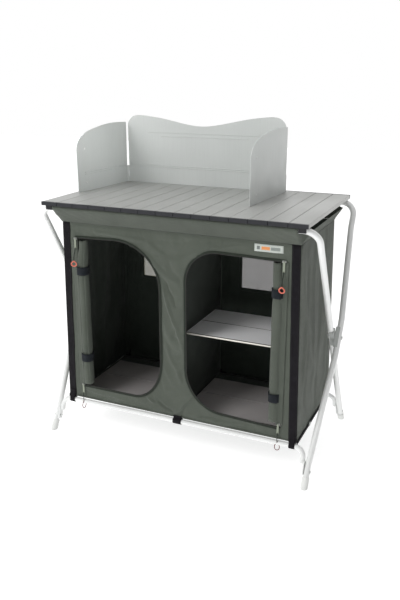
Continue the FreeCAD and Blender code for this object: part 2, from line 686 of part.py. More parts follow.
THIRD = size("barrel_height") / 3
back_solids = [back_leaf()]
for side in (-1, 1):
    x = size("screen_left") if side < 0 else size("screen_right")
    knuckles = hinge_barrels(side)
    for index in (0, 2):
        z = TABLE + 0.4 + index * THIRD
        reach = sorted((x, x - side * 6))
        strap = tongue(reach, (size("screen_y") + NEAR, size("screen_y") + FAR),
                       (z, z + THIRD - 0.4))
        back_solids += [knuckles[index], strap]
    z = TABLE + 0.4 + THIRD
    strap = tongue(sorted((x + side * NEAR, x + side * FAR)),
                   (size("screen_y") - 6, size("screen_y")), (z, z + THIRD - 0.4))
    # Each wing stands a few degrees round its pins from square.
    turned = Placement(Vector(), Rotation(Vector(*UP), size("wing_turn")), Vector(x, size("screen_y"), 0))
    keep(fuse(wing_leaf(side), strap, knuckles[1]), f"screen_wing_{WORD[side]}", turned)
    keep(rod("1.5", "{barrel_height}", (x, size("screen_y"), TABLE + 0.3), (0, 0, 1)),
         f"screen_pin_{WORD[side]}")
keep(fuse(*back_solids), "screen_back")

# ---------------------------------------------------------------- check and export

doc.recompute()
for item in doc.Objects:
    if "Invalid" in item.State or "Error" in item.State:
        raise RuntimeError(f"{item.Label} failed: {item.State}")
for part in parts:
    if part.Shape.isNull() or not part.Shape.isValid():
        raise RuntimeError(f"{part.Label} has no valid shape")

os.makedirs("parts", exist_ok=True)
for part in parts:
    part.Shape.exportStep(f"parts/{part.Label}.step")
    print(part.Label, len(part.Shape.Solids), round(part.Shape.Volume))
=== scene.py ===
import math

import bmesh
import bpy
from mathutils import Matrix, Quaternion, Vector, geometry, noise
from mathutils.bvhtree import BVHTree
from mathutils.kdtree import KDTree


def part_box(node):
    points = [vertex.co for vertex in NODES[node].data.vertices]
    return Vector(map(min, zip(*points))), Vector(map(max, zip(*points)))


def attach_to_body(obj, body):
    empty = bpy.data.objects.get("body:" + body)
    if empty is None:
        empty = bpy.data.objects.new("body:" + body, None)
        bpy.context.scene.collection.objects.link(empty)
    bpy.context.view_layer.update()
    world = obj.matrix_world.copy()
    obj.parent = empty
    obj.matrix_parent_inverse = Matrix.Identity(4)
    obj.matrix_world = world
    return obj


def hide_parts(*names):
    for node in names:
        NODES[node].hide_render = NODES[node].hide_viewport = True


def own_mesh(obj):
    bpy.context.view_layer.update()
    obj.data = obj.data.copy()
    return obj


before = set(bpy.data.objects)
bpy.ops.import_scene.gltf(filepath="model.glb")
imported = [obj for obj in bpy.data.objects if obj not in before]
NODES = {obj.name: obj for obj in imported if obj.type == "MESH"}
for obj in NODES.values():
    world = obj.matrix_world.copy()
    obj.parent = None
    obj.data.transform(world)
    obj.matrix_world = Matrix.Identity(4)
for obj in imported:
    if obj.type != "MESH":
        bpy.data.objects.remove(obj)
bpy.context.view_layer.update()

TWO_PI = 2 * math.pi

# ---- sizes, metres

FRONT_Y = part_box("fabric_front")[0].y           # outer face of the front wall
REAR_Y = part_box("fabric_back")[1].y
BASE_Z, SEAM_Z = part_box("fabric_front")[0].z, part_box("fabric_front")[1].z
BASE_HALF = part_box("fabric_front")[1].x
TOP_HALF = 0.396
FASCIA_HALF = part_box("fascia_front")[1].x
DOOR_OUT = 0.357
# each opening, by side: inner edge, then height at the arch and at the outer end, and the arch's
# half axes, for its top and its foot
DOORS = {-1: (0.0525, (0.692, 0.687, 0.155, 0.145), (0.170, 0.171, 0.100, 0.135)),
         1: (0.0405, (0.687, 0.683, 0.100, 0.100), (0.167, 0.159, 0.125, 0.132))}
RAIL_Y, RAIL_Z = 0.1953, 0.107                  # bottom rails
SIDES = {"left": -1, "right": 1}
ENDS = {"front": -1, "rear": 1}
OUT_FRONT = (0, -1, 0)


def smooth(t):
    t = min(1.0, max(0.0, t))
    return t * t * (3 - 2 * t)


def half_width(z):
    """Half the cupboard's width at a height."""
    return BASE_HALF + (TOP_HALF - BASE_HALF) * (z - BASE_Z) / (SEAM_Z - BASE_Z)


# ---- materials

class Nodes:
    """A node tree, with short ways to add nodes and join them."""

    def __init__(self, tree):
        self.tree = tree

    def node(self, kind, **values):
        made = self.tree.nodes.new(kind)
        for word, value in values.items():
            if hasattr(made, word):
                setattr(made, word, value)
            else:
                made.inputs[word.replace("_", " ")].default_value = value
        return made

    def link(self, out, into):
        self.tree.links.new(out, into)

    def math(self, operation, a, b=None):
        made = self.node("ShaderNodeMath", operation=operation)
        for socket, value in zip(made.inputs, (a, b)):
            if isinstance(value, (int, float)):
                socket.default_value = value
            elif value is not None:
                self.link(value, socket)
        return made.outputs[0]

    def span(self, value, low, high, to_low=0.0, to_high=1.0):
        made = self.node("ShaderNodeMapRange")
        for socket, number in zip(list(made.inputs)[1:5], (low, high, to_low, to_high)):
            socket.default_value = number
        self.link(value, made.inputs[0])
        return made.outputs[0]

    def split(self, out):
        """The x, y and z of a vector socket."""
        made = self.node("ShaderNodeSeparateXYZ")
        self.link(out, made.inputs[0])
        return made.outputs


class Look(Nodes):
    """One node material: a Principled shader with layered colour, roughness and bump."""

    def __init__(self, name, color, rough, metallic=0.0, space="Object", **fixed):
        self.material = bpy.data.materials.new(name)
        self.material.use_nodes = True
        super().__init__(self.material.node_tree)
        self.shader = self.tree.nodes["Principled BSDF"]
        self.color, self.normal = (*color, 1.0), None
        self.set("Base Color", self.color)
        self.set("Roughness", rough)
        self.set("Metallic", metallic)
        for word, value in fixed.items():
            self.set(word.replace("_", " "), value)
        self.space = self.node("ShaderNodeTexCoord").outputs[space]
        self.material.diffuse_color = self.color

    def set(self, socket, value):
        self.shader.inputs[socket].default_value = value

    def noise(self, scale, detail=3.0, stretch=(1, 1, 1), rough=0.5):
        made = self.node("ShaderNodeTexNoise", Scale=scale, Detail=detail, Roughness=rough)
        stretched = self.node("ShaderNodeMapping")
        stretched.inputs["Scale"].default_value = stretch
        self.link(self.space, stretched.inputs["Vector"])
        self.link(stretched.outputs[0], made.inputs["Vector"])
        return made.outputs["Fac"]

    def axis(self, index):
        return self.split(self.space)[index]

    def sine(self, index, period):
        return self.math("SINE", self.math("MULTIPLY", self.axis(index), TWO_PI / period))

    def weave(self, period):
        return self.math("MULTIPLY", self.sine(0, period), self.sine(1, period))

    def tint(self, factor, color):
        """Lays another colour over what is there, by a factor socket."""
        made = self.node("ShaderNodeMix", data_type="RGBA")
        self.link(factor, made.inputs[0])
        if isinstance(self.color, tuple):
            made.inputs[6].default_value = self.color
        else:
            self.link(self.color, made.inputs[6])
        made.inputs[7].default_value = (*color, 1.0)
        self.color = made.outputs[2]
        self.link(self.color, self.shader.inputs["Base Color"])

    def stain(self, noise, span, color):
        """Lays another colour over in clouds: the noise, and the share of it that shows."""
        self.tint(self.span(self.noise(*noise), *span), color)

    def bump(self, height, distance, strength):
        made = self.node("ShaderNodeBump", Distance=distance, Strength=strength)
        self.link(height, made.inputs["Height"])
        if self.normal is not None:
            self.link(self.normal, made.inputs["Normal"])
        self.normal = made.outputs[0]
        self.link(self.normal, self.shader.inputs["Normal"])

    def grain(self, noise, distance, strength):
        self.bump(self.noise(*noise), distance, strength)

    def rougher(self, noise, low, high):
        """Lets the roughness drift between two values."""
        drift = self.span(self.noise(*noise), 0.3, 0.7, low, high)
        self.link(drift, self.shader.inputs["Roughness"])


def cloth_look(name, color, light, dark, period=0.0011):
    """Coated polyester: a plain weave, faint slubs, soft creases and cloudy fading."""
    look = Look(name, color, 0.78, space="UV", Sheen_Weight=0.12, Sheen_Roughness=0.45)
    look.stain((4.5, 4), (0.42, 0.68), light)
    look.stain((13, 5, (1.0, 0.35, 1.0)), (0.5, 0.8, 0.0, 0.55), dark)
    look.stain((900, 2, (1.0, 0.12, 1.0)), (0.45, 0.75, 0.0, 0.35), light)
    look.tint(look.span(look.weave(period), -0.2, 1.0, 0.0, 0.35), dark)
    look.grain((16, 4, (1.0, 0.55, 1.0), 0.55), 0.0040, 0.55)
    look.grain((70, 3, (0.8, 0.5, 1.0)), 0.0006, 0.5)
    look.bump(look.weave(period), 0.00018, 0.9)
    look.rougher((24, 3), 0.70, 0.86)
    return look.material


def webbing_look(name, color, light):
    """Ribbed nylon tape: cross ribs, a herringbone of threads and fuzzy edges."""
    look = Look(name, color, 0.9, space="UV", Sheen_Weight=0.04, Specular_IOR_Level=0.18)
    look.stain((60, 3), (0.45, 0.75, 0.0, 0.7), light)
    look.tint(look.span(look.sine(1, 0.0016), 0.0, 1.0, 0.0, 0.4), light)
    look.bump(look.sine(1, 0.0016), 0.00025, 0.9)
    look.bump(look.sine(0, 0.0022), 0.00015, 0.8)
    look.grain((40, 3), 0.0008, 0.4)
    return look.material


def metal_look(name, color, rough, metallic, grain=(1, 1, 1), grain_scale=300, wear=None):
    """Coated or brushed metal: fine directional grain, faint smears and worn spots."""
    look = Look(name, color, rough, metallic)
    dull = tuple(c * 0.86 for c in color)
    look.stain((7, 4), (0.4, 0.75, 0.0, 0.6), dull)
    brushed = (grain_scale, 2, grain)
    look.stain(brushed, (0.45, 0.8, 0.0, 0.3), dull)
    if wear:
        look.stain((38, 6, (1, 1, 1), 0.7), (0.66, 0.74, 0.0, 0.55), wear)
    look.grain(brushed, 0.00006, 0.7)
    look.grain((22, 2), 0.0006, 0.15)
    look.rougher((30, 4), rough * 0.85, min(1.0, rough * 1.2))
    return look.material


def plastic_look(name, color, rough, light):
    """Moulded plastic: a fine spark-eroded grain, with paler rubbed patches."""
    look = Look(name, color, rough, Specular_IOR_Level=0.32)
    look.stain((26, 5, (1, 1, 1), 0.65), (0.55, 0.8, 0.0, 0.5), light)
    look.grain((1500, 2), 0.00008, 0.6)
    look.rougher((45, 3), rough * 0.85, min(1.0, rough * 1.2))
    return look.material


def slat_look():
    """Anodised slats: brushed along their length, with shallow rolled ridges."""
    look = Look("slat_aluminium", (0.40, 0.405, 0.39), 0.42, 0.35)
    look.stain((3.2, 4), (0.42, 0.7, 0.0, 0.7), (0.50, 0.505, 0.49))
    brushed = (420, 2, (1.0, 0.015, 1.0))
    look.stain(brushed, (0.42, 0.78, 0.0, 0.4), (0.33, 0.335, 0.325))
    look.stain((30, 6, (1, 0.3, 1), 0.7), (0.64, 0.78, 0.0, 0.3), (0.30, 0.30, 0.29))
    look.bump(look.sine(0, 0.0064), 0.0004, 0.5)
    look.grain(brushed, 0.00008, 0.6)
    look.rougher((12, 4, (1, 0.3, 1)), 0.36, 0.52)
    return look.material


def screen_look():
    """Thin rolled sheet: faint grain along its length and slow oil-canning."""
    look = Look("screen_sheet", (0.63, 0.655, 0.64), 0.5, 0.15)
    look.stain((3.0, 3), (0.4, 0.7, 0.0, 0.8), (0.71, 0.73, 0.715))
    rolled = (500, 2, (1, 1, 0.02))
    look.stain(rolled, (0.45, 0.8, 0.0, 0.25), (0.52, 0.54, 0.525))
    look.grain((4, 2), 0.010, 0.12)
    look.grain(rolled, 0.00006, 0.6)
    look.rougher((18, 4), 0.42, 0.6)
    return look.material


def net_look(name, color, light):
    """Fly net: round threads with open holes between them."""
    look = Look(name, color, 0.8, space="UV")
    holes = look.math("MAXIMUM", look.sine(0, 0.0015), look.sine(1, 0.0015))
    look.stain((9, 3), (0.4, 0.7, 0.0, 0.6), light)
    look.bump(holes, 0.0002, 0.8)
    look.link(look.span(holes, 0.10, 0.30, 0.52, 1.0), look.shader.inputs["Alpha"])
    return look.material


def label_look():
    """A woven patch: a pale ground with plain blocks of colour."""
    look = Look("patch", (0.56, 0.60, 0.56), 0.75, space="UV")

    def block(x0, x1, z0, z1):
        inside = look.math("MULTIPLY", look.math("GREATER_THAN", look.axis(0), x0),
                           look.math("LESS_THAN", look.axis(0), x1))
        tall = look.math("MULTIPLY", look.math("GREATER_THAN", look.axis(1), z0),
                         look.math("LESS_THAN", look.axis(1), z1))
        return look.math("MULTIPLY", inside, tall)

    look.tint(block(0.008, 0.017, 0.006, 0.016), (0.20, 0.22, 0.21))
    look.tint(block(0.022, 0.047, 0.006, 0.0155), (0.80, 0.32, 0.12))
    look.tint(block(0.050, 0.078, 0.006, 0.0155), (0.27, 0.30, 0.28))
    look.bump(look.weave(0.0009), 0.0002, 0.9)
    look.grain((120, 3), 0.0004, 0.4)
    return look.material


def board_look(name, color, pale, scuff):
    """A faced board: an even skin with fine orange peel and scuffs."""
    look = Look(name, color, 0.55)
    look.stain((5, 4), (0.42, 0.7, 0.0, 0.7), pale)
    look.stain((60, 6, (0.3, 1, 1), 0.7), (0.62, 0.76, 0.0, 0.4), scuff)
    look.grain((260, 2), 0.00015, 0.6)
    look.rougher((15, 4), 0.45, 0.65)
    return look.material


CLOTH = cloth_look("cloth_olive", (0.078, 0.090, 0.072), (0.096, 0.110, 0.089), (0.057, 0.069, 0.053))
# The inner face's colour is its own dark green, made darker still as painted shade for the inside of the
# cupboard, the partition and the floor cloth.
LINING_SHADED = cloth_look("cloth_lining_painted_shade", (0.026, 0.036, 0.027), (0.034, 0.046, 0.035), (0.017, 0.025, 0.018))
WEBBING = webbing_look("webbing_black", (0.0085, 0.0075, 0.0095), (0.016, 0.0145, 0.018))
STRAP = webbing_look("strap_navy", (0.013, 0.016, 0.020), (0.026, 0.030, 0.036))
ZIP = webbing_look("zip_tape", (0.026, 0.032, 0.025), (0.038, 0.045, 0.036))
THREAD = plastic_look("thread", (0.052, 0.062, 0.048), 0.7, (0.09, 0.10, 0.085))
PALE_THREAD = plastic_look("thread_pale", (0.35, 0.37, 0.34), 0.7, (0.45, 0.47, 0.44))
TUBE = metal_look("tube_silver", (0.89, 0.90, 0.89), 0.34, 0.12, (1, 1, 0.05), 260, (0.72, 0.73, 0.72))
BRACKET = plastic_look("bracket_grey", (0.46, 0.48, 0.465), 0.45, (0.56, 0.58, 0.565))
RIVET = metal_look("rivet_steel", (0.62, 0.63, 0.62), 0.28, 0.85)
FOOT = plastic_look("foot_pale", (0.82, 0.83, 0.81), 0.5, (0.88, 0.89, 0.87))
HOOK = plastic_look("hook_black", (0.016, 0.016, 0.018), 0.42, (0.045, 0.045, 0.048))
SLAT = slat_look()
CAP = plastic_look("cap_charcoal", (0.020, 0.021, 0.025), 0.42, (0.040, 0.042, 0.047))
# Both nets are one net cloth. The pale left copy is painted light from the bright backdrop showing through
# that window, and the dark right copy is painted shade.
NETS = {"left": net_look("window_net_painted_light", (0.46, 0.455, 0.31), (0.55, 0.545, 0.39)),
        "right": net_look("window_net", (0.150, 0.130, 0.122), (0.21, 0.19, 0.175))}
LABEL = label_look()
SLIDER = metal_look("slider_gunmetal", (0.33, 0.34, 0.32), 0.4, 0.6)
CORD = webbing_look("pull_cord_dark", (0.030, 0.036, 0.030), (0.05, 0.06, 0.05))
LOOP = plastic_look("pull_loop", (0.66, 0.17, 0.12), 0.4, (0.80, 0.34, 0.27))
LOOP_DARK = plastic_look("pull_loop_dark", (0.16, 0.060, 0.055), 0.5, (0.24, 0.10, 0.09))
TAB = metal_look("pull_tab", (0.27, 0.30, 0.235), 0.5, 0.2)
# The floor boards and the shelf share one board face. The floor's darker copy is painted shade from inside
# the cupboard, and the shelf's near-white copy is painted light falling on it.
BOARD_SHADED = board_look("board_floor_painted_shade", (0.36, 0.34, 0.335), (0.43, 0.41, 0.40), (0.26, 0.245, 0.24))
SHELF_LIT = board_look("board_shelf_painted_light", (0.90, 0.90, 0.91), (0.94, 0.94, 0.945), (0.74, 0.74, 0.74))
STUD = plastic_look("stud_white", (0.86, 0.87, 0.86), 0.35, (0.93, 0.93, 0.92))
SCREEN = screen_look()
# The shelf's front edge is a real edge. Its pale cream colour is a painted highlight of the light falling
# on it.
EDGE_HIGHLIGHT = plastic_look("edging_painted_highlight", (0.86, 0.84, 0.76), 0.35, (0.92, 0.90, 0.84))
EDGING = plastic_look("edging_dark", (0.05, 0.048, 0.045), 0.4, (0.10, 0.095, 0.09))
BOARD_HINGE = plastic_look("board_hinge", (0.30, 0.285, 0.28), 0.6, (0.36, 0.345, 0.34))

FINISHES = (
    ("top_rail", TUBE), ("bottom_rail", TUBE), ("pivot_rivet", RIVET), ("slats", SLAT),
    ("slat_caps", CAP), ("table_hooks", HOOK), ("floor_board_pins", BOARD_HINGE),
    ("shelf_board_pin", BOARD_HINGE), ("floor_board", BOARD_SHADED), ("shelf_board", SHELF_LIT),
    ("screen_pin", RIVET), ("screen_", SCREEN),
)


def finish_of(name):
    """The material of a carried-over node, by its name."""
    if name.startswith("frame_"):
        for word, made in (("leg", TUBE), ("foot", FOOT), ("bracket", BRACKET), ("rivets", RIVET)):
            if word in name:
                return made
    return next((made for word, made in FINISHES if name.startswith(word)), CLOTH)


for name, node in NODES.items():
    node.data.materials.clear()
    node.data.materials.append(finish_of(name))


# ---- mesh helpers

def linked(name, data):
    obj = bpy.data.objects.new(name, data)
    bpy.context.scene.collection.objects.link(obj)
    return obj


def attach(obj, body=None, stands_for=()):
    if body:
        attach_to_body(obj, body)
    if stands_for:
        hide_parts(*stands_for)


def piece(name, verts, faces, look, body=None, uvs=None, stands_for=(), shade=True):
    """A mesh object that rides on a body. uvs holds one (u, v) for each vertex, in metres."""
    data = bpy.data.meshes.new(name)
    data.from_pydata([tuple(v) for v in verts], [], [tuple(f) for f in faces])
    data.update()
    if uvs is not None:
        layer = data.uv_layers.new(name="flat")
        for loop in data.loops:
            layer.data[loop.index].uv = uvs[loop.vertex_index]
    obj = linked(name, data)
    data.materials.append(look)
    if shade:
        data.shade_smooth()
    attach(obj, body, stands_for)
    return obj


def grid_faces(rows, columns, ring=False, ends=False):
    """Quads over rows x columns points; ring closes the columns on themselves, ends adds caps."""
    faces = []
    for r in range(rows - 1):
        for c in range(columns if ring else columns - 1):
            d = (c + 1) % columns
            faces.append((r * columns + c, r * columns + d, (r + 1) * columns + d, (r + 1) * columns + c))
    if ends:
        faces += [tuple(range(columns))[::-1], tuple((rows - 1) * columns + k for k in range(columns))]
    return faces


def grid_piece(name, rows, columns, place, look, body=None, stands_for=()):
    """A mesh over rows x columns points: place(row, column) gives a point and its (u, v)."""
    points = [place(r, c) for r in range(rows) for c in range(columns)]
    return piece(name, [point for point, _ in points], grid_faces(rows, columns), look, body,
                 [uv for _, uv in points], stands_for)


def apply_modifier(obj, made):
    bpy.context.view_layer.objects.active = obj
    with bpy.context.temp_override(object=obj, active_object=obj):
        bpy.ops.object.modifier_apply(modifier=made.name)


def thicken(obj, thickness, lining=None, lining_first=False):
    """Gives cloth its thickness; a lining goes on the face the normals turn from, or first."""
    made = obj.modifiers.new("thickness", "SOLIDIFY")
    made.thickness, made.offset = thickness, 0.0
    made.use_even_offset = True
    if lining:
        obj.data.materials.append(lining)
        made.material_offset, made.material_offset_rim = 1, 0
        if lining_first:
            obj.data.materials[0], obj.data.materials[1] = lining, obj.data.materials[0]
            made.material_offset_rim = 1
    apply_modifier(obj, made)
    obj.data.shade_smooth()
    return obj


def tree_of(points):
    """A search tree of flat points."""
    made = KDTree(len(points))
    for i, p in enumerate(points):
        made.insert((p.x, p.y, 0.0), i)
    made.balance()
    return made


def cut_sheet(outline, holes, cell):
    """Triangles that fill a flat outline around its holes, with points about a cell apart."""
    points, edges = [], []

    def loop(path):
        start, dense = len(points), []
        for a, b in zip(path, path[1:] + path[:1]):
            a, b = Vector(a), Vector(b)
            steps = max(1, round((b - a).length / cell))
            dense += [a.lerp(b, i / steps) for i in range(steps)]
        points.extend(dense)
        count = len(dense)
        edges.extend((start + i, start + (i + 1) % count) for i in range(count))
        return dense

    loops = [loop(path) for path in (outline, *holes)]
    rims, nearest = len(points), tree_of(points)

    def inside(p, path):
        hit = False
        for a, b in zip(path, path[1:] + path[:1]):
            if (a.y > p.y) != (b.y > p.y) and p.x < a.x + (p.y - a.y) * (b.x - a.x) / (b.y - a.y):
                hit = not hit
        return hit

    def on_sheet(p):
        return inside(p, loops[0]) and not any(inside(p, path) for path in loops[1:])

    xs, ys = [p.x for p in loops[0]], [p.y for p in loops[0]]
    row, y = 0, min(ys) + cell * 0.8
    while y < max(ys):
        x = min(xs) + cell * (0.8 if row % 2 else 0.3)
        while x < max(xs):
            p = Vector((x, y))
            if nearest.find((p.x, p.y, 0.0))[2] > cell * 0.55 and on_sheet(p):
                points.append(p)
            x += cell
        y += cell * 0.866
        row += 1
    flat, _, faces, sources, _, _ = geometry.delaunay_2d_cdt(points, edges, [], 1, 1e-6)
    kept = []
    for face in faces:
        middle = sum((flat[i] for i in face), Vector((0, 0))) / len(face)
        if on_sheet(middle):
            kept.append(face)
    rim = {i for i, source in enumerate(sources) if any(s < rims for s in source)}
    return flat, kept, rim


SETTLE_FRAMES = 16


def simulate(obj, pinned, grow, cap):
    """Lets slack cloth settle between its sewn edges; no point moves further than cap."""
    rest = [v.co.copy() for v in obj.data.vertices]
    scene = bpy.context.scene
    group = obj.vertex_groups.new(name="sewn")
    group.add(sorted(pinned), 1.0, "REPLACE")
    made = obj.modifiers.new("Cloth", "CLOTH")
    made.settings.vertex_group_mass = "sewn"
    made.settings.quality = 5
    made.settings.mass = 0.12
    made.settings.tension_stiffness = made.settings.compression_stiffness = 18
    made.settings.shear_stiffness = 6
    made.settings.bending_stiffness = 0.3
    made.settings.shrink_min = -grow
    made.settings.effector_weights.gravity = 0.5
    made.collision_settings.use_collision = False
    made.point_cache.frame_start, made.point_cache.frame_end = 1, SETTLE_FRAMES
    for number in range(1, SETTLE_FRAMES + 1):
        scene.frame_set(number)
    apply_modifier(obj, made)
    scene.frame_set(1)
    obj.vertex_groups.clear()
    for v, old in zip(obj.data.vertices, rest):
        moved = v.co - old
        if moved.length > 1e-9:
            v.co = old + moved * (cap * math.tanh(moved.length / cap) / moved.length)
    obj.data.update()


def crease(p, seed, scale, stretch=(1, 1, 1)):
    """Soft folds: two octaves of noise, stretched along the axes."""
    q = Vector((p.x * stretch[0], p.y * stretch[1], p.z * stretch[2])) * scale + Vector((seed, 0, 0))
    return noise.noise(q) + 0.45 * noise.noise(q * 2.1 + Vector((7, 3, 1)))


def door_outline(side, grow=0.0):
    """A door opening's outline, from its lower outer corner round by the middle to its top."""
    inner, (top, top_out, wide, tall), (low, low_out, low_wide, low_tall) = DOORS[side]
    turns = [math.pi / 2 * i / 14 for i in range(15)]
    path = [(DOOR_OUT + grow, low_out - grow)]
    path += [(inner + low_wide - (low_wide + grow) * math.sin(a),
              low + low_tall - (low_tall + grow) * math.cos(a)) for a in turns]
    path += [(inner + wide - (wide + grow) * math.cos(a),
              top - tall + (tall + grow) * math.sin(a)) for a in turns]
    path += [(DOOR_OUT + grow, top_out + grow)]
    return [Vector((side * x, z)) for x, z in path]


def area_of(path):
    return abs(sum(a.x * b.y - b.x * a.y for a, b in zip(path, path[1:] + path[:1]))) / 2


def resample(path, pitch):
    """Points an even pitch apart along a polyline, with the direction at each."""
    out, carried = [], 0.0
    for a, b in zip(path, path[1:]):
        length = (b - a).length
        if length < 1e-9:
            continue
        way = (b - a) / length
        while carried <= length:
            out.append((a + way * carried, way))
            carried += pitch
        carried -= length
    return out


def surface_of(obj):
    return BVHTree.FromPolygons([v.co for v in obj.data.vertices],
                                [tuple(p.vertices) for p in obj.data.polygons])


def stitches(name, runs, look, body, away, pitch=0.0042, length=0.0030, thick=0.0004):
    """Rows of raised stitches: runs are polylines in space, away lifts them off the cloth."""
    verts, faces = [], []
    away = Vector(away).normalized()
    for run in runs:
        for middle, way in resample(run, pitch):
            across = way.cross(away).normalized()
            base = len(verts)
            a, b = middle - way * length / 2, middle + way * length / 2
            ring = [middle + across * thick, middle + away * thick,
                    middle - across * thick, middle - away * thick]
            verts += [a, *ring, b]
            for i in range(4):
                faces += [(base, base + 1 + i, base + 1 + (i + 1) % 4),
                          (base + 5, base + 1 + (i + 1) % 4, base + 1 + i)]
    return piece(name, verts, faces, look, body, [(v.x, v.z) for v in verts], shade=False)


def strip(name, path, width_way, width, look, body, thick, stands_for=(), wave=0.0, lay=None):
    """A flat tape along a path, its width along width_way; lay puts its points on a surface."""
    columns, way = 7, Vector(width_way).normalized()
    travelled = [0.0]
    for a, b in zip(path, path[1:]):
        travelled.append(travelled[-1] + (b - a).length)

    def place(i, c):
        t = c / (columns - 1) - 0.5
        before, after = path[max(0, i - 1)], path[min(len(path) - 1, i + 1)]
        out = (after - before).normalized().cross(way)
        p = path[i] + way * (t * width) + out * wave * crease(Vector((t, travelled[i], 0)), 5.0, 9.0)
        return lay(p) if lay else p, (t * width, travelled[i])

    return thicken(grid_piece(name, len(path), columns, place, look, body, stands_for), thick)


def around_of(count):
    """The angles of count points round a circle."""
    return [TWO_PI * k / count for k in range(count)]


def tube(name, path, radius, look, body, uv_of=None):
    """A round cord along a path, with closed ends."""
    verts, count, angles = [], len(path), around_of(8)
    for i, point in enumerate(path):
        way = (path[min(count - 1, i + 1)] - path[max(0, i - 1)]).normalized()
        side = way.cross(Vector((0, 0, 1)))
        side = way.cross(Vector((0, 1, 0))) if side.length < 0.1 else side
        side.normalize()
        other = side.cross(way)
        verts += [point + side * radius * math.cos(a) + other * radius * math.sin(a) for a in angles]
    uvs = [uv_of(v) for v in verts] if uv_of else None
    faces = grid_faces(count, len(angles), ring=True, ends=True)
    return piece(name, verts, faces, look, body, uvs)


# ---- the four walls

def fold_lines(p, folds):
    """The height of long soft folds from a to b: ridges or troughs with one steep side."""
    height = 0.0
    for ax, az, bx, bz, rise, wide in folds:
        a, run = Vector((ax, az)), Vector((bx, bz)) - Vector((ax, az))
        t = (p - a).dot(run) / run.length_squared
        if -0.15 < t < 1.15:
            off = (p - a - run * t).dot(Vector((-run.y, run.x)).normalized())
            wander = 0.25 * wide * math.sin(t * 9 + a.x * 40)
            u = (off + wander) / wide
            ends = smooth((t + 0.15) * 5) * smooth((1.15 - t) * 5)
            height += rise * math.exp(-u * u) * (1 + 0.6 * math.tanh(2 * u)) * ends
    return height


CLOTH_THICK = 0.0010
SEAM_REACH = 0.03               # the wrinkles die out this close to a seam


def wall(name, outline, holes, place, cell, look, seed, wrinkle, out, stretch, grow, cap, folds=()):
    """A sewn panel: cut flat, creased, and left to settle between its seams."""
    flat, faces, rim = cut_sheet(outline, holes, cell)
    verts = []
    nearest = tree_of([flat[i] for i in rim])
    for p in flat:
        q = place(p)
        share = smooth(nearest.find((p.x, p.y, 0.0))[2] / SEAM_REACH)
        lift = wrinkle * crease(q, seed, 8.5, stretch) + fold_lines(p, folds)
        verts.append(q + Vector(out) * share * lift)
    obj = piece(name, verts, faces, look, uvs=[(p.x, p.y) for p in flat])
    simulate(obj, rim, grow, cap)
    return obj


TRAPEZIUM = [(-BASE_HALF, BASE_Z), (BASE_HALF, BASE_Z), (TOP_HALF, SEAM_Z), (-TOP_HALF, SEAM_Z)]

# soft folds of the front: from x, z to x, z on the wall's plane, then rise and width
FRONT_FOLDS = (
    (-0.045, 0.560, 0.030, 0.356, 0.0056, 0.0062), (-0.030, 0.575, 0.002, 0.505, -0.0042, 0.0050),
    (0.030, 0.470, -0.010, 0.400, -0.0024, 0.0100), (-0.034, 0.360, 0.020, 0.250, 0.0034, 0.0090),
    (0.024, 0.300, -0.042, 0.210, 0.0024, 0.0110), (0.004, 0.133, 0.066, 0.208, 0.0056, 0.0058),
    (-0.130, 0.186, -0.080, 0.156, 0.0046, 0.0050), (-0.020, 0.640, 0.030, 0.560, -0.0034, 0.0075),
    (-0.270, 0.712, -0.110, 0.700, 0.0030, 0.0052), (-0.080, 0.700, 0.090, 0.716, -0.0030, 0.0058),
    (0.130, 0.700, 0.240, 0.720, 0.0025, 0.0052), (-0.060, 0.160, -0.010, 0.135, -0.0038, 0.0050),
    (0.090, 0.140, 0.260, 0.146, -0.0030, 0.0050), (-0.340, 0.150, -0.190, 0.142, 0.0032, 0.0050))

front_wall = wall(
    "front_wall", TRAPEZIUM, [door_outline(-1), door_outline(1)[::-1]],
    lambda p: Vector((p.x, FRONT_Y + 0.0012, p.y)), cell=0.0048, look=CLOTH, seed=3.0, wrinkle=0.0018,
    out=OUT_FRONT, stretch=(1, 1, 0.7), grow=0.004, cap=0.0045, folds=FRONT_FOLDS)

WINDOW = (0.077, 0.316, 0.462, 0.700)


def window_outline(side, grow=0.0):
    """A window with small rounded corners."""
    x0, x1, z0, z1 = WINDOW
    x0, x1, z0, z1, r = x0 - grow, x1 + grow, z0 - grow, z1 + grow, 0.006 + grow
    path = []
    for cx, cz, start in ((x1 - r, z0 + r, -90), (x1 - r, z1 - r, 0),
                          (x0 + r, z1 - r, 90), (x0 + r, z0 + r, 180)):
        path += [Vector((side * (cx + r * math.cos(a)), cz + r * math.sin(a)))
                 for a in (math.radians(start + 18 * i) for i in range(6))]
    return path


BACK_FOLDS = (
    (-0.30, 0.44, -0.05, 0.30, 0.003, 0.012), (0.04, 0.42, 0.31, 0.34, -0.003, 0.012),
    (-0.20, 0.30, 0.12, 0.20, 0.003, 0.013), (0.10, 0.28, 0.33, 0.17, 0.003, 0.012),
    (-0.01, 0.68, 0.03, 0.48, 0.003, 0.010))
back_wall = wall(
    "back_wall", TRAPEZIUM, [window_outline(-1), window_outline(1)],
    lambda p: Vector((p.x, REAR_Y - 0.0012, p.y)), cell=0.012, look=CLOTH, seed=11.0, wrinkle=0.0020,
    out=(0, 1, 0), stretch=(1, 1, 0.6), grow=0.005, cap=0.0045, folds=BACK_FOLDS)

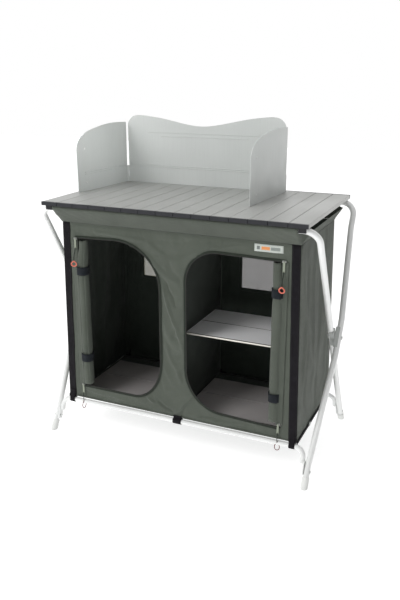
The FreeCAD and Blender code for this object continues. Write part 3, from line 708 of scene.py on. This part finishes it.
# long folds that hang down the sides
SIDE_FOLDS = (
    (-0.150, 0.700, -0.125, 0.300, 0.0044, 0.016), (-0.095, 0.640, -0.110, 0.200, -0.0039, 0.013),
    (-0.030, 0.720, -0.020, 0.260, 0.0047, 0.018), (0.045, 0.600, 0.020, 0.160, -0.0039, 0.015),
    (0.100, 0.720, 0.090, 0.350, 0.0044, 0.016), (0.150, 0.560, 0.140, 0.200, 0.0036, 0.014),
    (-0.170, 0.230, -0.060, 0.150, 0.0034, 0.009))
side_walls, depth = {}, REAR_Y - 0.0016
for word, side in SIDES.items():
    side_walls[word] = wall(
        f"side_wall_{word}", [(-depth, BASE_Z), (depth, BASE_Z), (depth, SEAM_Z), (-depth, SEAM_Z)], [],
        lambda p, s=side: Vector((s * (half_width(p.y) - 0.0008), p.x, p.y)), cell=0.012, look=CLOTH,
        seed=21.0 + side, wrinkle=0.0026, out=(side, 0, 0), stretch=(1, 1.25, 0.28), grow=0.006,
        cap=0.0055, folds=SIDE_FOLDS)

behind = depth - 0.006          # the partition stops short of the folds in the walls
low, high = BASE_Z + 0.002, SEAM_Z - 0.001
partition = wall(
    "partition", [(-behind, low), (behind, low), (behind, high), (-behind, high)], [],
    lambda p: Vector((0, p.x, p.y)), cell=0.016, look=LINING_SHADED, seed=31.0, wrinkle=0.003, out=(1, 0, 0),
    stretch=(1, 1, 0.4), grow=0.004, cap=0.004)
FLOOR_HALF = 0.409
floor_cloth = wall(
    "floor_cloth", [(-FLOOR_HALF, -depth), (FLOOR_HALF, -depth), (FLOOR_HALF, depth), (-FLOOR_HALF, depth)],
    [], lambda p: Vector((p.x, p.y, BASE_Z + 0.001)), cell=0.020, look=LINING_SHADED, seed=41.0, wrinkle=0.0006,
    out=(0, 0, -1), stretch=(1, 1, 1), grow=0.0, cap=0.001)

thicken(front_wall, CLOTH_THICK, LINING_SHADED)
thicken(back_wall, CLOTH_THICK, LINING_SHADED, lining_first=True)
thicken(side_walls["right"], CLOTH_THICK, LINING_SHADED)
thicken(side_walls["left"], CLOTH_THICK, LINING_SHADED, lining_first=True)
thicken(partition, CLOTH_THICK)
thicken(floor_cloth, CLOTH_THICK)


def fold(obj):
    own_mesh(obj)


attach(front_wall, "front_panel", ["fabric_front"])
attach(back_wall, "rear_panel", ["fabric_back"])
for word, made in (*side_walls.items(), ("partition", partition), ("floor", floor_cloth)):
    attach(made, "cupboard", [f"fabric_{word}"])
    fold(made)

DOOR_AREA = area_of(door_outline(-1)) + area_of(door_outline(1))

# ---- fascias and end flaps

FASCIA_PROFILE = [(0.1946, 0.7385), (0.2070, 0.7505), (0.2200, 0.7630), (0.2320, 0.7740),
                  (0.2400, 0.7815), (0.2440, 0.7870), (0.2445, 0.7925), (0.2415, 0.7960), (0.2370, 0.7972)]


def spline(points, count):
    """Evenly spread points along a smooth line through the given ones."""
    out = []
    last = len(points) - 1
    for i in range(count):
        t = i / (count - 1) * last
        k = min(int(t), last - 1)
        f = t - k
        p = [points[min(last, max(0, k + j))] for j in (-1, 0, 1, 2)]
        out.append(tuple(0.5 * (2 * b + (c - a) * f + (2 * a - 5 * b + 4 * c - d) * f * f
                                + (3 * b - a - 3 * c + d) * f ** 3) for a, b, c, d in zip(*p)))
    return out


def fascia(end, sign):
    """The sloping band from the wall's seam up over the front of the top rail."""
    profile, columns = spline(FASCIA_PROFILE, 20), 96

    def place(r, c):
        y, z = profile[r]
        share = math.sin(math.pi * min(1.0, r / 15))
        x = (c / (columns - 1) * 2 - 1) * FASCIA_HALF
        drag = smooth(abs(x) / FASCIA_HALF * 1.4 - 0.4)
        ruck = 0.0016 * crease(Vector((x, z * 0.7, 0)), 51.0 + sign, 15.0) \
            + 0.0012 * drag * math.sin(x * 150 + z * 260)
        return Vector((x, sign * (y + share * ruck), z - 0.0008 * share * drag)), (x, r * 0.0037)

    obj = grid_piece(f"fascia_cloth_{end}", len(profile), columns, place, CLOTH)
    thicken(obj, CLOTH_THICK)
    attach(obj, "cupboard", [f"fascia_{end}"])
    fold(obj)


for end, sign in ENDS.items():
    fascia(end, sign)

# how far an end flap flares and rises, its cut height and half its depth
FLAP_OUT, FLAP_UP, FLAP_CUT, FLAP_HALF = 0.026, 0.040, 0.049, 0.191


def flap(word, side):
    """The end flap: it flares from the side wall's seam to the table's end."""
    rows, columns = 12, 56

    def place(r, c):
        t, y = r / (rows - 1), (c / (columns - 1) * 2 - 1) * FLAP_HALF
        sag = 0.0022 * crease(Vector((0, y, t * 0.05)), 61.0 + side, 14.0) \
            - 0.004 * (1 - (y / FLAP_HALF) ** 2)
        x = TOP_HALF + FLAP_OUT * t + math.sin(math.pi * t) * sag
        return Vector((side * x, y, SEAM_Z + 0.0006 + FLAP_UP * t)), (y, t * FLAP_CUT)

    obj = grid_piece(f"end_flap_{word}", rows, columns, place, CLOTH)
    thicken(obj, CLOTH_THICK)
    attach(obj, "cupboard", [f"fabric_flap_{word}"])
    fold(obj)


for word, side in SIDES.items():
    flap(word, side)


def shaded_gap_sheet(end, sign, word, side):
    """A folded cloth sheet from a fascia's end to the end flap's edge. It closes the corner where the real
    cupboard has an open slit in shade, as painted shade for that gap.
    """
    profile, columns = spline(FASCIA_PROFILE[:6], 12), 9

    def place(r, c):
        (y, z), t, u = profile[r], r / (len(profile) - 1), c / (columns - 1)
        near = Vector((FASCIA_HALF - 0.002, y - 0.0006, z))
        far = Vector((TOP_HALF + FLAP_OUT * t, FLAP_HALF, SEAM_Z + FLAP_UP * t))
        tuck = 0.010 * t * math.sin(math.pi * u)
        q = near.lerp(far, u) - Vector((tuck * 0.7, tuck, 0))
        return Vector((side * q.x, sign * q.y, q.z)), (u * 0.05, t * 0.06)

    obj = grid_piece(f"corner_gap_sheet_{end}_{word}", len(profile), columns, place, CLOTH, "cupboard")
    thicken(obj, CLOTH_THICK)
    fold(obj)


def corner_binding(end, sign, word, side):
    """The tape that binds a side wall to the front or back wall on the inside."""
    rows = 40
    legs = ((0.016, 0.0034), (0.008, 0.0030), (0.0026, 0.0026), (0.0030, 0.008), (0.0034, 0.016))

    def place(r, c):
        z = BASE_Z + 0.001 + (SEAM_Z - BASE_Z - 0.002) * r / (rows - 1)
        into_x, into_y = legs[c]
        return Vector((side * (half_width(z) - into_x), sign * (REAR_Y - into_y), z)), (into_x - into_y, z)

    obj = grid_piece(f"corner_binding_{end}_{word}", rows, len(legs), place, LINING_SHADED, "cupboard")
    thicken(obj, 0.0008)
    fold(obj)


for end, sign in ENDS.items():
    for word, side in SIDES.items():
        shaded_gap_sheet(end, sign, word, side)
        corner_binding(end, sign, word, side)

# ---- door edges, zips and stitching

FRONT_SURFACE, BACK_SURFACE = surface_of(front_wall), surface_of(back_wall)


def on_front(x, z, lift=0.0):
    """The point on the front wall's outer face at x, z."""
    hit = FRONT_SURFACE.ray_cast(Vector((x, FRONT_Y - 0.05, z)), Vector((0, 1, 0)))[0]
    return Vector((x, (hit.y if hit else FRONT_Y) - lift, z))


def on_back(x, z, lift=0.0):
    """The point on the back wall's outer face at x, z."""
    hit = BACK_SURFACE.ray_cast(Vector((x, REAR_Y + 0.05, z)), Vector((0, -1, 0)))[0]
    return Vector((x, (hit.y if hit else REAR_Y) + lift, z))


ZIP_WIDE = 0.0075


def zip_tape(word, side):
    """The zip round a door opening: tape, a coil of teeth at its edge and two stitch rows."""
    path = door_outline(side)
    path[0], path[-1] = path[0] - Vector((side * 0.004, 0)), path[-1] - Vector((side * 0.004, 0))
    dense, columns = resample(path, 0.006), 5

    def place(i, c):
        (p, way), t = dense[i], c / (columns - 1)
        q = p + Vector((-way.y, way.x)) * side * (0.0005 + ZIP_WIDE * t)
        rise = 0.0006 + 0.0004 * math.sin(math.pi * t)
        return Vector((q.x, FRONT_Y - rise, q.y)), (ZIP_WIDE * t, i * 0.006)

    tape = grid_piece(f"zip_tape_{word}", len(dense), columns, place, ZIP)
    thicken(tape, 0.0005)
    attach(tape, "front_panel", [f"zip_{word}"])
    verts, faces = [], []
    for p, way in resample(path, 0.0021):
        out, base = Vector((-way.y, way.x)) * side, len(verts)
        for along in (-0.0005, 0.0005):
            for across, rise in ((-0.0012, 0.0002), (-0.0006, 0.0016), (0.0012, 0.0016), (0.0018, 0.0002)):
                q = p + way * along + out * across
                verts.append(Vector((q.x, FRONT_Y - rise, q.y)))
        faces += [[base + k for k in corners] for corners in
                  ((0, 1, 5, 4), (1, 2, 6, 5), (2, 3, 7, 6), (3, 0, 4, 7), (0, 3, 2, 1), (4, 5, 6, 7))]
    piece(f"zip_coil_{word}", verts, faces, EDGING, "front_panel", None, shade=False)
    rows = [[on_front(p.x, p.y, 0.0009) for p, _ in resample(door_outline(side, grow)[1:-1], 0.006)]
            for grow in (0.0045, 0.0105)]
    stitches(f"zip_stitches_{word}", rows, THREAD, "front_panel", OUT_FRONT)


for word, side in SIDES.items():
    zip_tape(word, side)


def seam_line(z, half):
    return [on_front(-half + 2 * half * i / 60, z, 0.0006) for i in range(61)]


stitches("front_seam_stitches", [seam_line(SEAM_Z - 0.005, 0.360), seam_line(SEAM_Z - 0.009, 0.360),
                                 seam_line(BASE_Z + 0.007, 0.375)], THREAD, "front_panel", OUT_FRONT)

# the fold that hems the wall's lower edge and the ridge of its top seam
for name, z, half in (("hem_front", BASE_Z + 0.004, 0.383), ("seam_roll_front", SEAM_Z - 0.001, 0.368)):
    tube(name, [Vector((-half + 2 * half * i / 80, FRONT_Y + 0.0004, z + 0.0004 * math.sin(i * 0.7)))
                for i in range(81)], 0.0016, CLOTH, "front_panel", lambda v: (v.x, v.z + v.y))

# ---- rolled doors and their straps

ROLL_X, ROLL_Y, ROLL_R, ROLL_LOW, ROLL_HIGH = 0.333, -0.1885, 0.0190, 0.180, 0.682
STRAP_HEIGHTS = {-1: (0.567, 0.263), 1: (0.576, 0.245)}
STRAP_HIGH = 0.027


def pinch(z, side):
    """How much a strap draws the roll in at a height."""
    gap = min(abs(z - (low + STRAP_HIGH / 2)) for low in STRAP_HEIGHTS[side])
    return 0.0016 * (1 - smooth((gap - 0.012) / 0.03))


def roll_radius(angle, z, side):
    """The outer radius of a rolled door: soft dents between its straps, a thinner top."""
    round_place = Vector((math.cos(angle) * 0.35, math.sin(angle) * 0.35, z))
    soft = 0.0009 * crease(round_place, 71.0 + side, 9.0, (1, 1, 1.2))
    return ROLL_R - pinch(z, side) + soft - 0.0040 * smooth((z - 0.610) / 0.055)


def roll_centre(z, side):
    """The roll's axis at a height; its top leans a little inboard and back."""
    lean = smooth((z - 0.600) / 0.07)
    return Vector((side * (ROLL_X - 0.0045 * lean), ROLL_Y + 0.002 * lean, z))


def door_roll(word, side):
    """A door rolled up beside its opening: about four turns of cloth and its free flap."""
    turns, per_turn, rows = 3.7, 30, 64
    count, height = int(turns * per_turn), ROLL_HIGH - ROLL_LOW
    travelled = [0.0]

    def place(r, c):
        z, turn = ROLL_LOW + height * r / (rows - 1), c / per_turn
        angle = side * (turn * TWO_PI + 0.9) - side * turns * TWO_PI
        radius = roll_radius(angle, z, side) * (0.22 + 0.78 * (turn / turns) ** 0.85)
        tilt = 0.0016 * math.sin(angle) * (1 if r in (0, rows - 1) else 0)
        sunk = 0.0045 * (1 - turn / turns) if r == rows - 1 else 0.0
        u = 0.0 if c == 0 else travelled[0]
        travelled[0] = u + radius * TWO_PI / per_turn
        off = Vector((radius * math.cos(angle), radius * math.sin(angle), tilt - sunk))
        return roll_centre(z, side) + off, (u, z)

    obj = grid_piece(f"rolled_door_{word}", rows, count + 1, place, CLOTH)
    thicken(obj, 0.0009)
    attach(obj, "front_panel", [f"door_roll_{word}"])


for word, side in SIDES.items():
    door_roll(word, side)

EDGE_LOW, EDGE_TALL = 0.170, 0.514


def door_edge(word, side):
    """The strip of door cloth that runs from the roll to the wall beside the opening."""
    rows, columns, near = 48, 8, ROLL_X + 0.010

    def place(r, c):
        z, t = EDGE_LOW + EDGE_TALL * r / (rows - 1), c / (columns - 1)
        x = near + (DOOR_OUT + 0.006 - ROLL_X - 0.010) * t
        y = FRONT_Y - 0.0010 - 0.0060 * (1 - t) ** 2 * smooth((0.640 - z) / 0.06) \
            - 0.0006 * crease(Vector((t * 0.02, z, 0)), 81.0, 14.0)
        return Vector((side * x, y, z)), (x, z)

    obj = grid_piece(f"door_edge_{word}", rows, columns, place, CLOTH, "front_panel")
    thicken(obj, CLOTH_THICK)


for word, side in SIDES.items():
    door_edge(word, side)


def strap_band(name, side, low):
    """A tape round the roll with a hook-and-loop tail lying over it."""
    around, tail, rows = 44, 10, 6

    def place(r, c):
        z, angle = low + STRAP_HIGH * r / (rows - 1), TWO_PI * c / around
        overlap = 0.0014 * smooth((c - around + 4) / 6) + (0.0010 if c > around + 7 else 0)
        radius = ROLL_R + 0.0008 + overlap + 0.0003 * math.sin(3 * angle + side)
        turn = side * (angle - 2.2)
        return Vector((side * ROLL_X + radius * math.cos(turn), ROLL_Y + radius * math.sin(turn),
                       z + 0.0006 * math.sin(angle * 1.3))), (z, radius * angle)

    band = grid_piece(name, rows, around + tail, place, STRAP, "front_panel", ["roll_straps"])
    thicken(band, 0.0012)


for word, side in SIDES.items():
    for spot, low in zip(("top", "low"), STRAP_HEIGHTS[side]):
        strap_band(f"roll_strap_{spot}_{word}", side, low)

# ---- webbing on the corners

TAPE, TAPE_THICK, TAPE_FOOT = 0.026, 0.0013, 0.1185


def corner_strips(end, sign):
    """The flat tapes down both corners of a wall, with the loops that hold the bottom rail."""
    body, lay = ("front_panel", on_front) if end == "front" else ("rear_panel", on_back)
    for word, side in SIDES.items():
        heights = [SEAM_Z - 0.0005 - (SEAM_Z - TAPE_FOOT) * i / 45 for i in range(46)]
        path = [Vector((side * (half_width(z) - 0.0005 - TAPE / 2), sign * REAR_Y, z)) for z in heights]
        strip(f"corner_tape_{end}_{word}", path, (1, 0, 0), TAPE, WEBBING, body, TAPE_THICK,
              [f"webbing_{end}"] if word == "left" else (), lay=lambda p: lay(p.x, p.z, 0.0011))
        rows = [[lay(p.x + shift, p.z, 0.0019) for p in path] for shift in (-0.0098, 0.0098)]
        stitches(f"corner_stitches_{end}_{word}", rows, EDGING, body, (0, sign, 0), 0.0045)
        rail_loop(f"rail_loop_{end}_{word}", side * (BASE_HALF - 0.0145), 0.0185, sign, body)
    rail_loop(f"rail_loop_{end}_middle", 0.0075, 0.029, sign, body, 0.126)


def rail_loop(name, x, width, sign, body, top=0.146):
    """A tape that goes down from the wall, round the bottom rail and up behind it."""
    radius, angles = 0.0093, [math.radians(20 - 22 * i) for i in range(11)]
    path = [(REAR_Y + 0.0012, top), (REAR_Y + 0.0016, top - (top - RAIL_Z) * 0.4),
            (RAIL_Y + radius * 0.86, RAIL_Z + radius * 0.75),
            *((RAIL_Y + radius * math.cos(a), RAIL_Z + radius * math.sin(a)) for a in angles),
            (RAIL_Y - radius * 0.72, RAIL_Z + radius * 0.95),
            (REAR_Y - 0.0026, 0.124), (REAR_Y - 0.0032, 0.134)]
    points = [Vector((x, sign * y, z)) for y, z in spline(path, 60)]
    strip(name, points, (1, 0, 0), width, WEBBING, body, TAPE_THICK, wave=0.0003)


for end, sign in ENDS.items():
    corner_strips(end, sign)

# ---- straps along the sides' feet

FOOT_STRAP_HALF = 0.196
LOCK_LOW, LOCK_HIGH, LOCK_HALF = -0.066, -0.052, 0.0062         # the plastic ladder lock on each strap

for word, side in SIDES.items():
    path = [Vector((side * (BASE_HALF + 0.0014), -FOOT_STRAP_HALF + 2 * FOOT_STRAP_HALF * i / 60,
                    BASE_Z + 0.0005 - 0.0022 * math.sin(math.pi * i / 60))) for i in range(61)]
    fold(strip(f"foot_strap_{word}", path, (0, 0, 1), 0.0100, WEBBING, "cupboard", 0.0020))
    verts = []
    for y, t in ((LOCK_LOW, 0.6), (LOCK_LOW + 0.002, 1.0), (LOCK_HIGH - 0.002, 1.0), (LOCK_HIGH, 0.6)):
        low, high = -LOCK_HALF * t, LOCK_HALF * t
        for dx, dz in ((0.0004, low), (0.0034 * t, low), (0.0044 * t, 0.0),
                       (0.0034 * t, high), (0.0004, high)):
            verts.append(Vector((side * (BASE_HALF + 0.0010 + dx), y, BASE_Z - 0.0012 + dz)))
    faces = grid_faces(4, 5, ring=True, ends=True)
    fold(piece(f"foot_strap_lock_{word}", verts, faces, BRACKET, "cupboard", None, shade=False))

# ---- label

LABEL_LOW, LABEL_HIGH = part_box("label")
LABEL_W, LABEL_H, LABEL_HEM = LABEL_HIGH.x - LABEL_LOW.x, LABEL_HIGH.z - LABEL_LOW.z, 0.0016


def on_label(r, c):
    u, v = LABEL_W * c / 24, LABEL_H * r / 8
    edge = min(u, LABEL_W - u, v, LABEL_H - v)
    base = on_front(LABEL_LOW.x + u, LABEL_LOW.z + v)
    lift = 0.0005 + 0.0006 * smooth(edge / 0.003) + 0.0002 * math.sin(u * 140)
    return Vector((base.x, base.y - lift, base.z)), (u, v)


thicken(grid_piece("label_patch", 9, 25, on_label, LABEL, "front_panel", ["label"]), 0.0006)
us, vs = (LABEL_HEM, LABEL_W - LABEL_HEM), (LABEL_HEM, LABEL_H - LABEL_HEM)
ring = [on_front(LABEL_LOW.x + us[i], LABEL_LOW.z + vs[j], 0.0012)
        for i, j in ((0, 0), (1, 0), (1, 1), (0, 1), (0, 0))]
stitches("label_stitches", [ring], PALE_THREAD, "front_panel", OUT_FRONT, 0.003, 0.0022, 0.00035)

# ---- windows

def window(word, side):
    """A net behind a window opening, and the binding on both faces of its rim."""
    x0, x1, z0, z1 = WINDOW
    wide, tall, lap, count = x1 - x0, z1 - z0, 0.004, 20

    def place(r, c):
        u, v = c / (count - 1), r / (count - 1)
        x, z = side * (x0 - lap + (wide + 2 * lap) * u), z0 - lap + (tall + 2 * lap) * v
        belly = math.sin(math.pi * u) * math.sin(math.pi * v)
        y = REAR_Y - 0.0026 - 0.0035 * belly + 0.0006 * crease(Vector((x, 0, z)), 91.0, 12.0)
        return Vector((x, y, z)), (u * wide, v * tall)

    net = grid_piece(f"window_net_{word}", count, count, place, NETS[word], "rear_panel",
                     ["window_mesh"])
    for face, y, away, look in (("outer", REAR_Y + 0.0003, 1, ZIP), ("inner", REAR_Y - 0.0045, -1, LINING_SHADED)):
        verts, uvs = [], []
        for grow, lift in ((-0.0015, 0.0), (0.002, 0.0007), (0.0065, 0.0007), (0.009, 0.0)):
            rim = window_outline(side, grow)
            verts += [Vector((p.x, y + away * lift, p.y)) for p in rim]
            uvs += [(p.x, p.y) for p in rim]
        thicken(piece(f"window_binding_{face}_{word}", verts, grid_faces(4, len(rim), ring=True), look,
                      "rear_panel", uvs), 0.0005)


for word, side in SIDES.items():
    window(word, side)

# ---- zip sliders and pulls

def teardrop(radius_x, radius_z, thick, point):
    """A teardrop ring in the XZ plane, its pointed end up."""
    verts, count, angles = [], 28, around_of(8)
    for a in around_of(count):
        up, away = max(0.0, math.cos(a)), Vector((math.sin(a), 0, math.cos(a)))
        centre = Vector((radius_x * math.sin(a) * (1 - 0.45 * up ** 2), 0,
                         radius_z * math.cos(a) * (1 + point * up ** 3)))
        verts += [centre + away * thick * math.cos(b) + Vector((0, 1, 0)) * thick * math.sin(b)
                  for b in angles]
    faces, last = grid_faces(count, len(angles), ring=True), (count - 1) * len(angles)
    for k in range(len(angles)):
        following = (k + 1) % len(angles)
        faces.append((last + k, last + following, following, k))
    return verts, faces


def slider(spot, word, side):
    """A slider body on the coil and its tab. Returns where a cord starts, in the tab's eye."""
    low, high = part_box(f"zip_slider_{spot}_{word}")
    body = f"slider_{spot}_{word}"
    x, front, centre = (low.x + high.x) / 2, low.y, high.z - 0.004
    made = bmesh.new()
    bmesh.ops.create_cube(made, size=1.0)
    for v in made.verts:
        taper = 0.8 if v.co.x * side > 0 else 1.0
        v.co = Vector((x + v.co.x * 0.0118, front + 0.00195 + v.co.y * 0.0026,
                       centre + v.co.z * 0.0078 * taper))
    bmesh.ops.bevel(made, geom=made.edges[:], offset=0.0008, segments=2, affect="EDGES")
    mesh = bpy.data.meshes.new(f"slider_body_{spot}_{word}")
    made.to_mesh(mesh)
    made.free()
    mesh.materials.append(SLIDER)
    attach(linked(mesh.name, mesh), body, [f"zip_slider_{spot}_{word}"])
    bridge = [Vector((x + side * (-0.004 + 0.008 * t), front + 0.0004 - 0.0014 * math.sin(math.pi * t),
                      centre + 0.001)) for t in (i / 10 for i in range(11))]
    tube(f"slider_bridge_{spot}_{word}", bridge, 0.0006, SLIDER, body)
    # the tab: a stadium plate with an eye at its foot
    top, foot, half, eye_z, eye_r = centre + 0.001, low.z + 0.0006, 0.0030, 0.0028, 0.0012
    arc = [math.pi * i / 12 for i in range(13)]
    outline = [(half * math.cos(a), top + half * math.sin(a) - half) for a in arc]
    outline += [(half * 1.15 * math.cos(math.pi + a), foot + half * math.sin(math.pi + a) + half)
                for a in arc]
    eye = [(eye_r * math.cos(a), foot + eye_z + eye_r * math.sin(a)) for a in around_of(12)]
    flat, faces, _ = cut_sheet(outline, [eye], 0.0012)
    verts = [Vector((x + p.x, front - 0.0001 + 0.0004 * math.sin((p.y - foot) * 90), p.y)) for p in flat]
    uvs = [(p.x, p.y) for p in flat]
    thicken(piece(f"slider_tab_{spot}_{word}", verts, faces, TAB, body, uvs), 0.0009)
    return Vector((x, front - 0.0004, foot + eye_z))


PULL_D = 0.0024
# for each spot: the loop's half width, half height, thickness, point, drop and look; the cord's points
PULLS = {"top": (0.0088, 0.0078, 0.0021, 0.15, 1.02, LOOP,
                 [(0, 0, 0), (0.0004, -0.0040, -0.009), (-0.0004, -0.0085, -0.020),
                  (-0.0006, -0.0115, -0.032), (0, -0.0130, -0.043)]),
         "low": (0.0080, 0.0115, 0.0013, 0.45, 1.3, LOOP_DARK,
                 [(0, 0, 0), (-0.0004, -0.0012, -0.008), (-0.0006, -0.0018, -0.017),
                  (-0.0002, -0.0016, -0.026), (0.0002, -0.0010, -0.032)])}
TURNS = {("top", "left"): 0.25, ("top", "right"): -0.2, ("low", "left"): 1.35, ("low", "right"): 0.1}


def pull(spot, word, start):
    """The cord from a tab's eye down to the moulded loop on its end."""
    wide, tall, thick, point, drop, look, points = PULLS[spot]
    body = f"slider_{spot}_{word}"
    curve = bpy.data.curves.new(f"pull_cord_{spot}_{word}", "CURVE")
    curve.dimensions = "3D"
    line = curve.splines.new("NURBS")
    line.points.add(len(points) - 1)
    for knot, offset in zip(line.points, points):
        knot.co = (*(start + Vector(offset)), 1)
    line.order_u, line.use_endpoint_u = 3, True
    curve.bevel_depth, curve.bevel_resolution, curve.use_fill_caps = PULL_D / 2, 3, True
    curve.resolution_u = 12
    curve.materials.append(CORD)
    cord = linked(curve.name, curve)
    attach(cord, body)
    verts, faces = teardrop(wide, tall, thick, point)
    end, spin, hang = start + Vector(points[-1]), Quaternion((0, 0, 1), TURNS[spot, word]), tall * drop
    verts = [end + spin @ Vector((v.x, v.y, v.z - hang)) for v in verts]
    loop = piece(f"pull_loop_{spot}_{word}", verts, faces, look, body, None)
    length = sum((Vector(b) - Vector(a)).length for a, b in zip(points, points[1:]))


for word, side in SIDES.items():
    for spot in PULLS:
        pull(spot, word, slider(spot, word, side))

# ---- windscreen details

WING_TURN = math.radians(-4.2)
WING_MIDDLE = 0.00245            # from a pin's axis to the middle of its wing's sheet


def on_wing(side, pin, along, z, off):
    """A point on a wing: its distance from the pin, its height, and how far off the sheet's middle."""
    ahead = Vector((math.sin(WING_TURN), -math.cos(WING_TURN), 0))
    outward = Vector((math.cos(WING_TURN), math.sin(WING_TURN), 0)) * side
    return Vector((pin.x, pin.y, z)) + ahead * along + outward * (WING_MIDDLE + off)


# the studs that pass through a wing (distance from the pin, height, radius) and a stud's profile
STUDS = ((0.254, 0.951, 0.0036), (0.251, 0.839, 0.0028))
STUD_RINGS = ((1.0, 0.0), (1.0, 0.0004), (0.82, 0.0010), (0.45, 0.0014), (0.0, 0.0015))
WING_RIBS = (0.8675, 0.8735)

for word, side in SIDES.items():
    low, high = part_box(f"screen_pin_{word}")
    pin, body, angles = (low + high) / 2, f"wing_{word}", around_of(18)
    for number, (along, z, r) in enumerate(STUDS):
        for face, way in (("in", -1), ("out", 1)):
            verts = [on_wing(side, pin, along + r * share * math.cos(a), z + r * share * math.sin(a),
                             way * (0.00075 + rise)) for share, rise in STUD_RINGS for a in angles]
            piece(f"screen_stud_{word}_{number}_{face}", verts,
                  grid_faces(len(STUD_RINGS), len(angles), ring=True), STUD, body, None)
    for number, z in enumerate(WING_RIBS):
        path = [on_wing(side, pin, 0.258 - 0.238 * i / 40, z, -0.0006) for i in range(41)]
        tube(f"screen_rib_{word}_{number}", path, 0.0016, SCREEN, body)

SCREEN_FACE_Y = 0.2242
# the ribs pressed across the screen's back: height, and x at both ends
BACK_RIBS = ((0.9895, -0.300, 0.120), (0.9770, -0.250, 0.080), (0.8735, -0.375, 0.205),
             (0.8675, -0.375, 0.205))

for number, (z, start, end) in enumerate(BACK_RIBS):
    path = [Vector((start + (end - start) * i / 60, SCREEN_FACE_Y, z + 0.0006 * math.sin(i * 0.05)))
            for i in range(61)]
    tube(f"screen_rib_back_{number}", path, 0.0013, SCREEN, "windscreen")

# ---- board edging, with a painted highlight and a painted shade line

# each strip: name, look, foot above the board's underside, height, how far it stands out
# The cream strip's colour is a painted highlight along the shelf's front edge. The dark strip above it is a
# painted shade line between the top face and the edge.
SHELF_STRIPS = (("edging", EDGE_HIGHLIGHT, -0.0010, 0.0050, 0.0022), ("trim", EDGING, 0.0040, 0.0018, 0.0017))

for end, sign in ENDS.items():
    low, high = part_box(f"shelf_board_{end}")
    y = low.y if end == "front" else high.y
    for word, look, foot, rise, out in SHELF_STRIPS:
        section = [(-0.0002, foot), (out * 0.7, foot), (out, foot + rise * 0.2), (out, foot + rise * 0.8),
                   (out * 0.7, foot + rise), (-0.0002, foot + rise)]
        xs = [low.x + (high.x - low.x) * i / 39 for i in range(40)]
        verts = [Vector((x, y + sign * a, low.z + b)) for x in xs for a, b in section]
        piece(f"shelf_{word}_{end}", verts, grid_faces(len(xs), len(section), ring=True, ends=True), look,
              f"shelf_{end}", None)

# ---- stage, light, camera

scene = bpy.context.scene
floor_data = bpy.data.meshes.new("studio_floor")
floor_data.from_pydata([(-9, -9, 0), (9, -9, 0), (9, 9, 0), (-9, 9, 0)], [], [(0, 1, 2, 3)])
studio_floor = linked("studio_floor", floor_data)
studio_floor.location.z = -0.0004
floor_look = Look("studio_paper", (0.62, 0.62, 0.62), 0.9, Emission_Color=(1, 1, 1, 1),
                  Emission_Strength=0.74)
floor_look.stain((1.5, 2), (0.4, 0.6, 0.0, 0.2), (0.58, 0.58, 0.58))
floor_data.materials.append(floor_look.material)

scene.world = bpy.data.worlds.new("studio")
scene.world.use_nodes = True
sky = Nodes(scene.world.node_tree)
side_way, depth_way, _ = sky.split(sky.node("ShaderNodeTexCoord").outputs["Generated"])
background = sky.tree.nodes["Background"]

# a white cove behind, a little dimmer in front and dimmest on the right
backdrop = sky.span(depth_way, 0.45, 0.65)
shade = sky.math("MULTIPLY", sky.span(depth_way, -0.1, 0.5, 0.58, 0.95),
                 sky.span(side_way, 0.1, 0.7, 1.0, 0.22))
background.inputs["Color"].default_value = (1, 1, 1, 1)
sky.link(sky.math("MAXIMUM", backdrop, shade), background.inputs["Strength"])


def soft_box(name, place, target, size, power, spread=180):
    light = bpy.data.lights.new(name, "AREA")
    light.spread = math.radians(spread)
    light.shape, light.size, light.size_y, light.energy = "RECTANGLE", size[0], size[1], power
    lamp = linked(name, light)
    lamp.location = place
    lamp.visible_camera = lamp.visible_glossy = False
    lamp.rotation_euler = (Vector(target) - Vector(place)).to_track_quat("-Z", "Y").to_euler()


soft_box("key", (-1.6, -2.6, 2.6), (0, 0, 0.45), (1.5, 1.5), 62)
soft_box("fill", (2.6, -1.6, 1.6), (0, 0, 0.45), (1.6, 1.6), 3)
soft_box("top", (0.2, 0.4, 3.0), (0, 0, 0.6), (2.2, 2.2), 15)
soft_box("wing", (0.10, -0.42, 1.16), (-0.43, 0.06, 0.94), (0.20, 0.20), 0.13, 36)

camera = linked("camera", bpy.data.cameras.new("camera"))
camera.data.lens, camera.data.sensor_width = 41.44, 36.0
camera.data.clip_start, camera.data.clip_end = 0.05, 60
AZIMUTH, ELEVATION, DISTANCE = math.radians(23.93), math.radians(18.42), 2.327
aim = Vector((0.001, 0, 0.465))
back_way = Vector((math.sin(AZIMUTH) * math.cos(ELEVATION), -math.cos(AZIMUTH) * math.cos(ELEVATION),
                   math.sin(ELEVATION)))
camera.location = aim + back_way * DISTANCE
camera.rotation_mode = "QUATERNION"
camera.rotation_quaternion = (-back_way).to_track_quat("-Z", "Y")
scene.camera = camera
scene.view_settings.view_transform = "Standard"
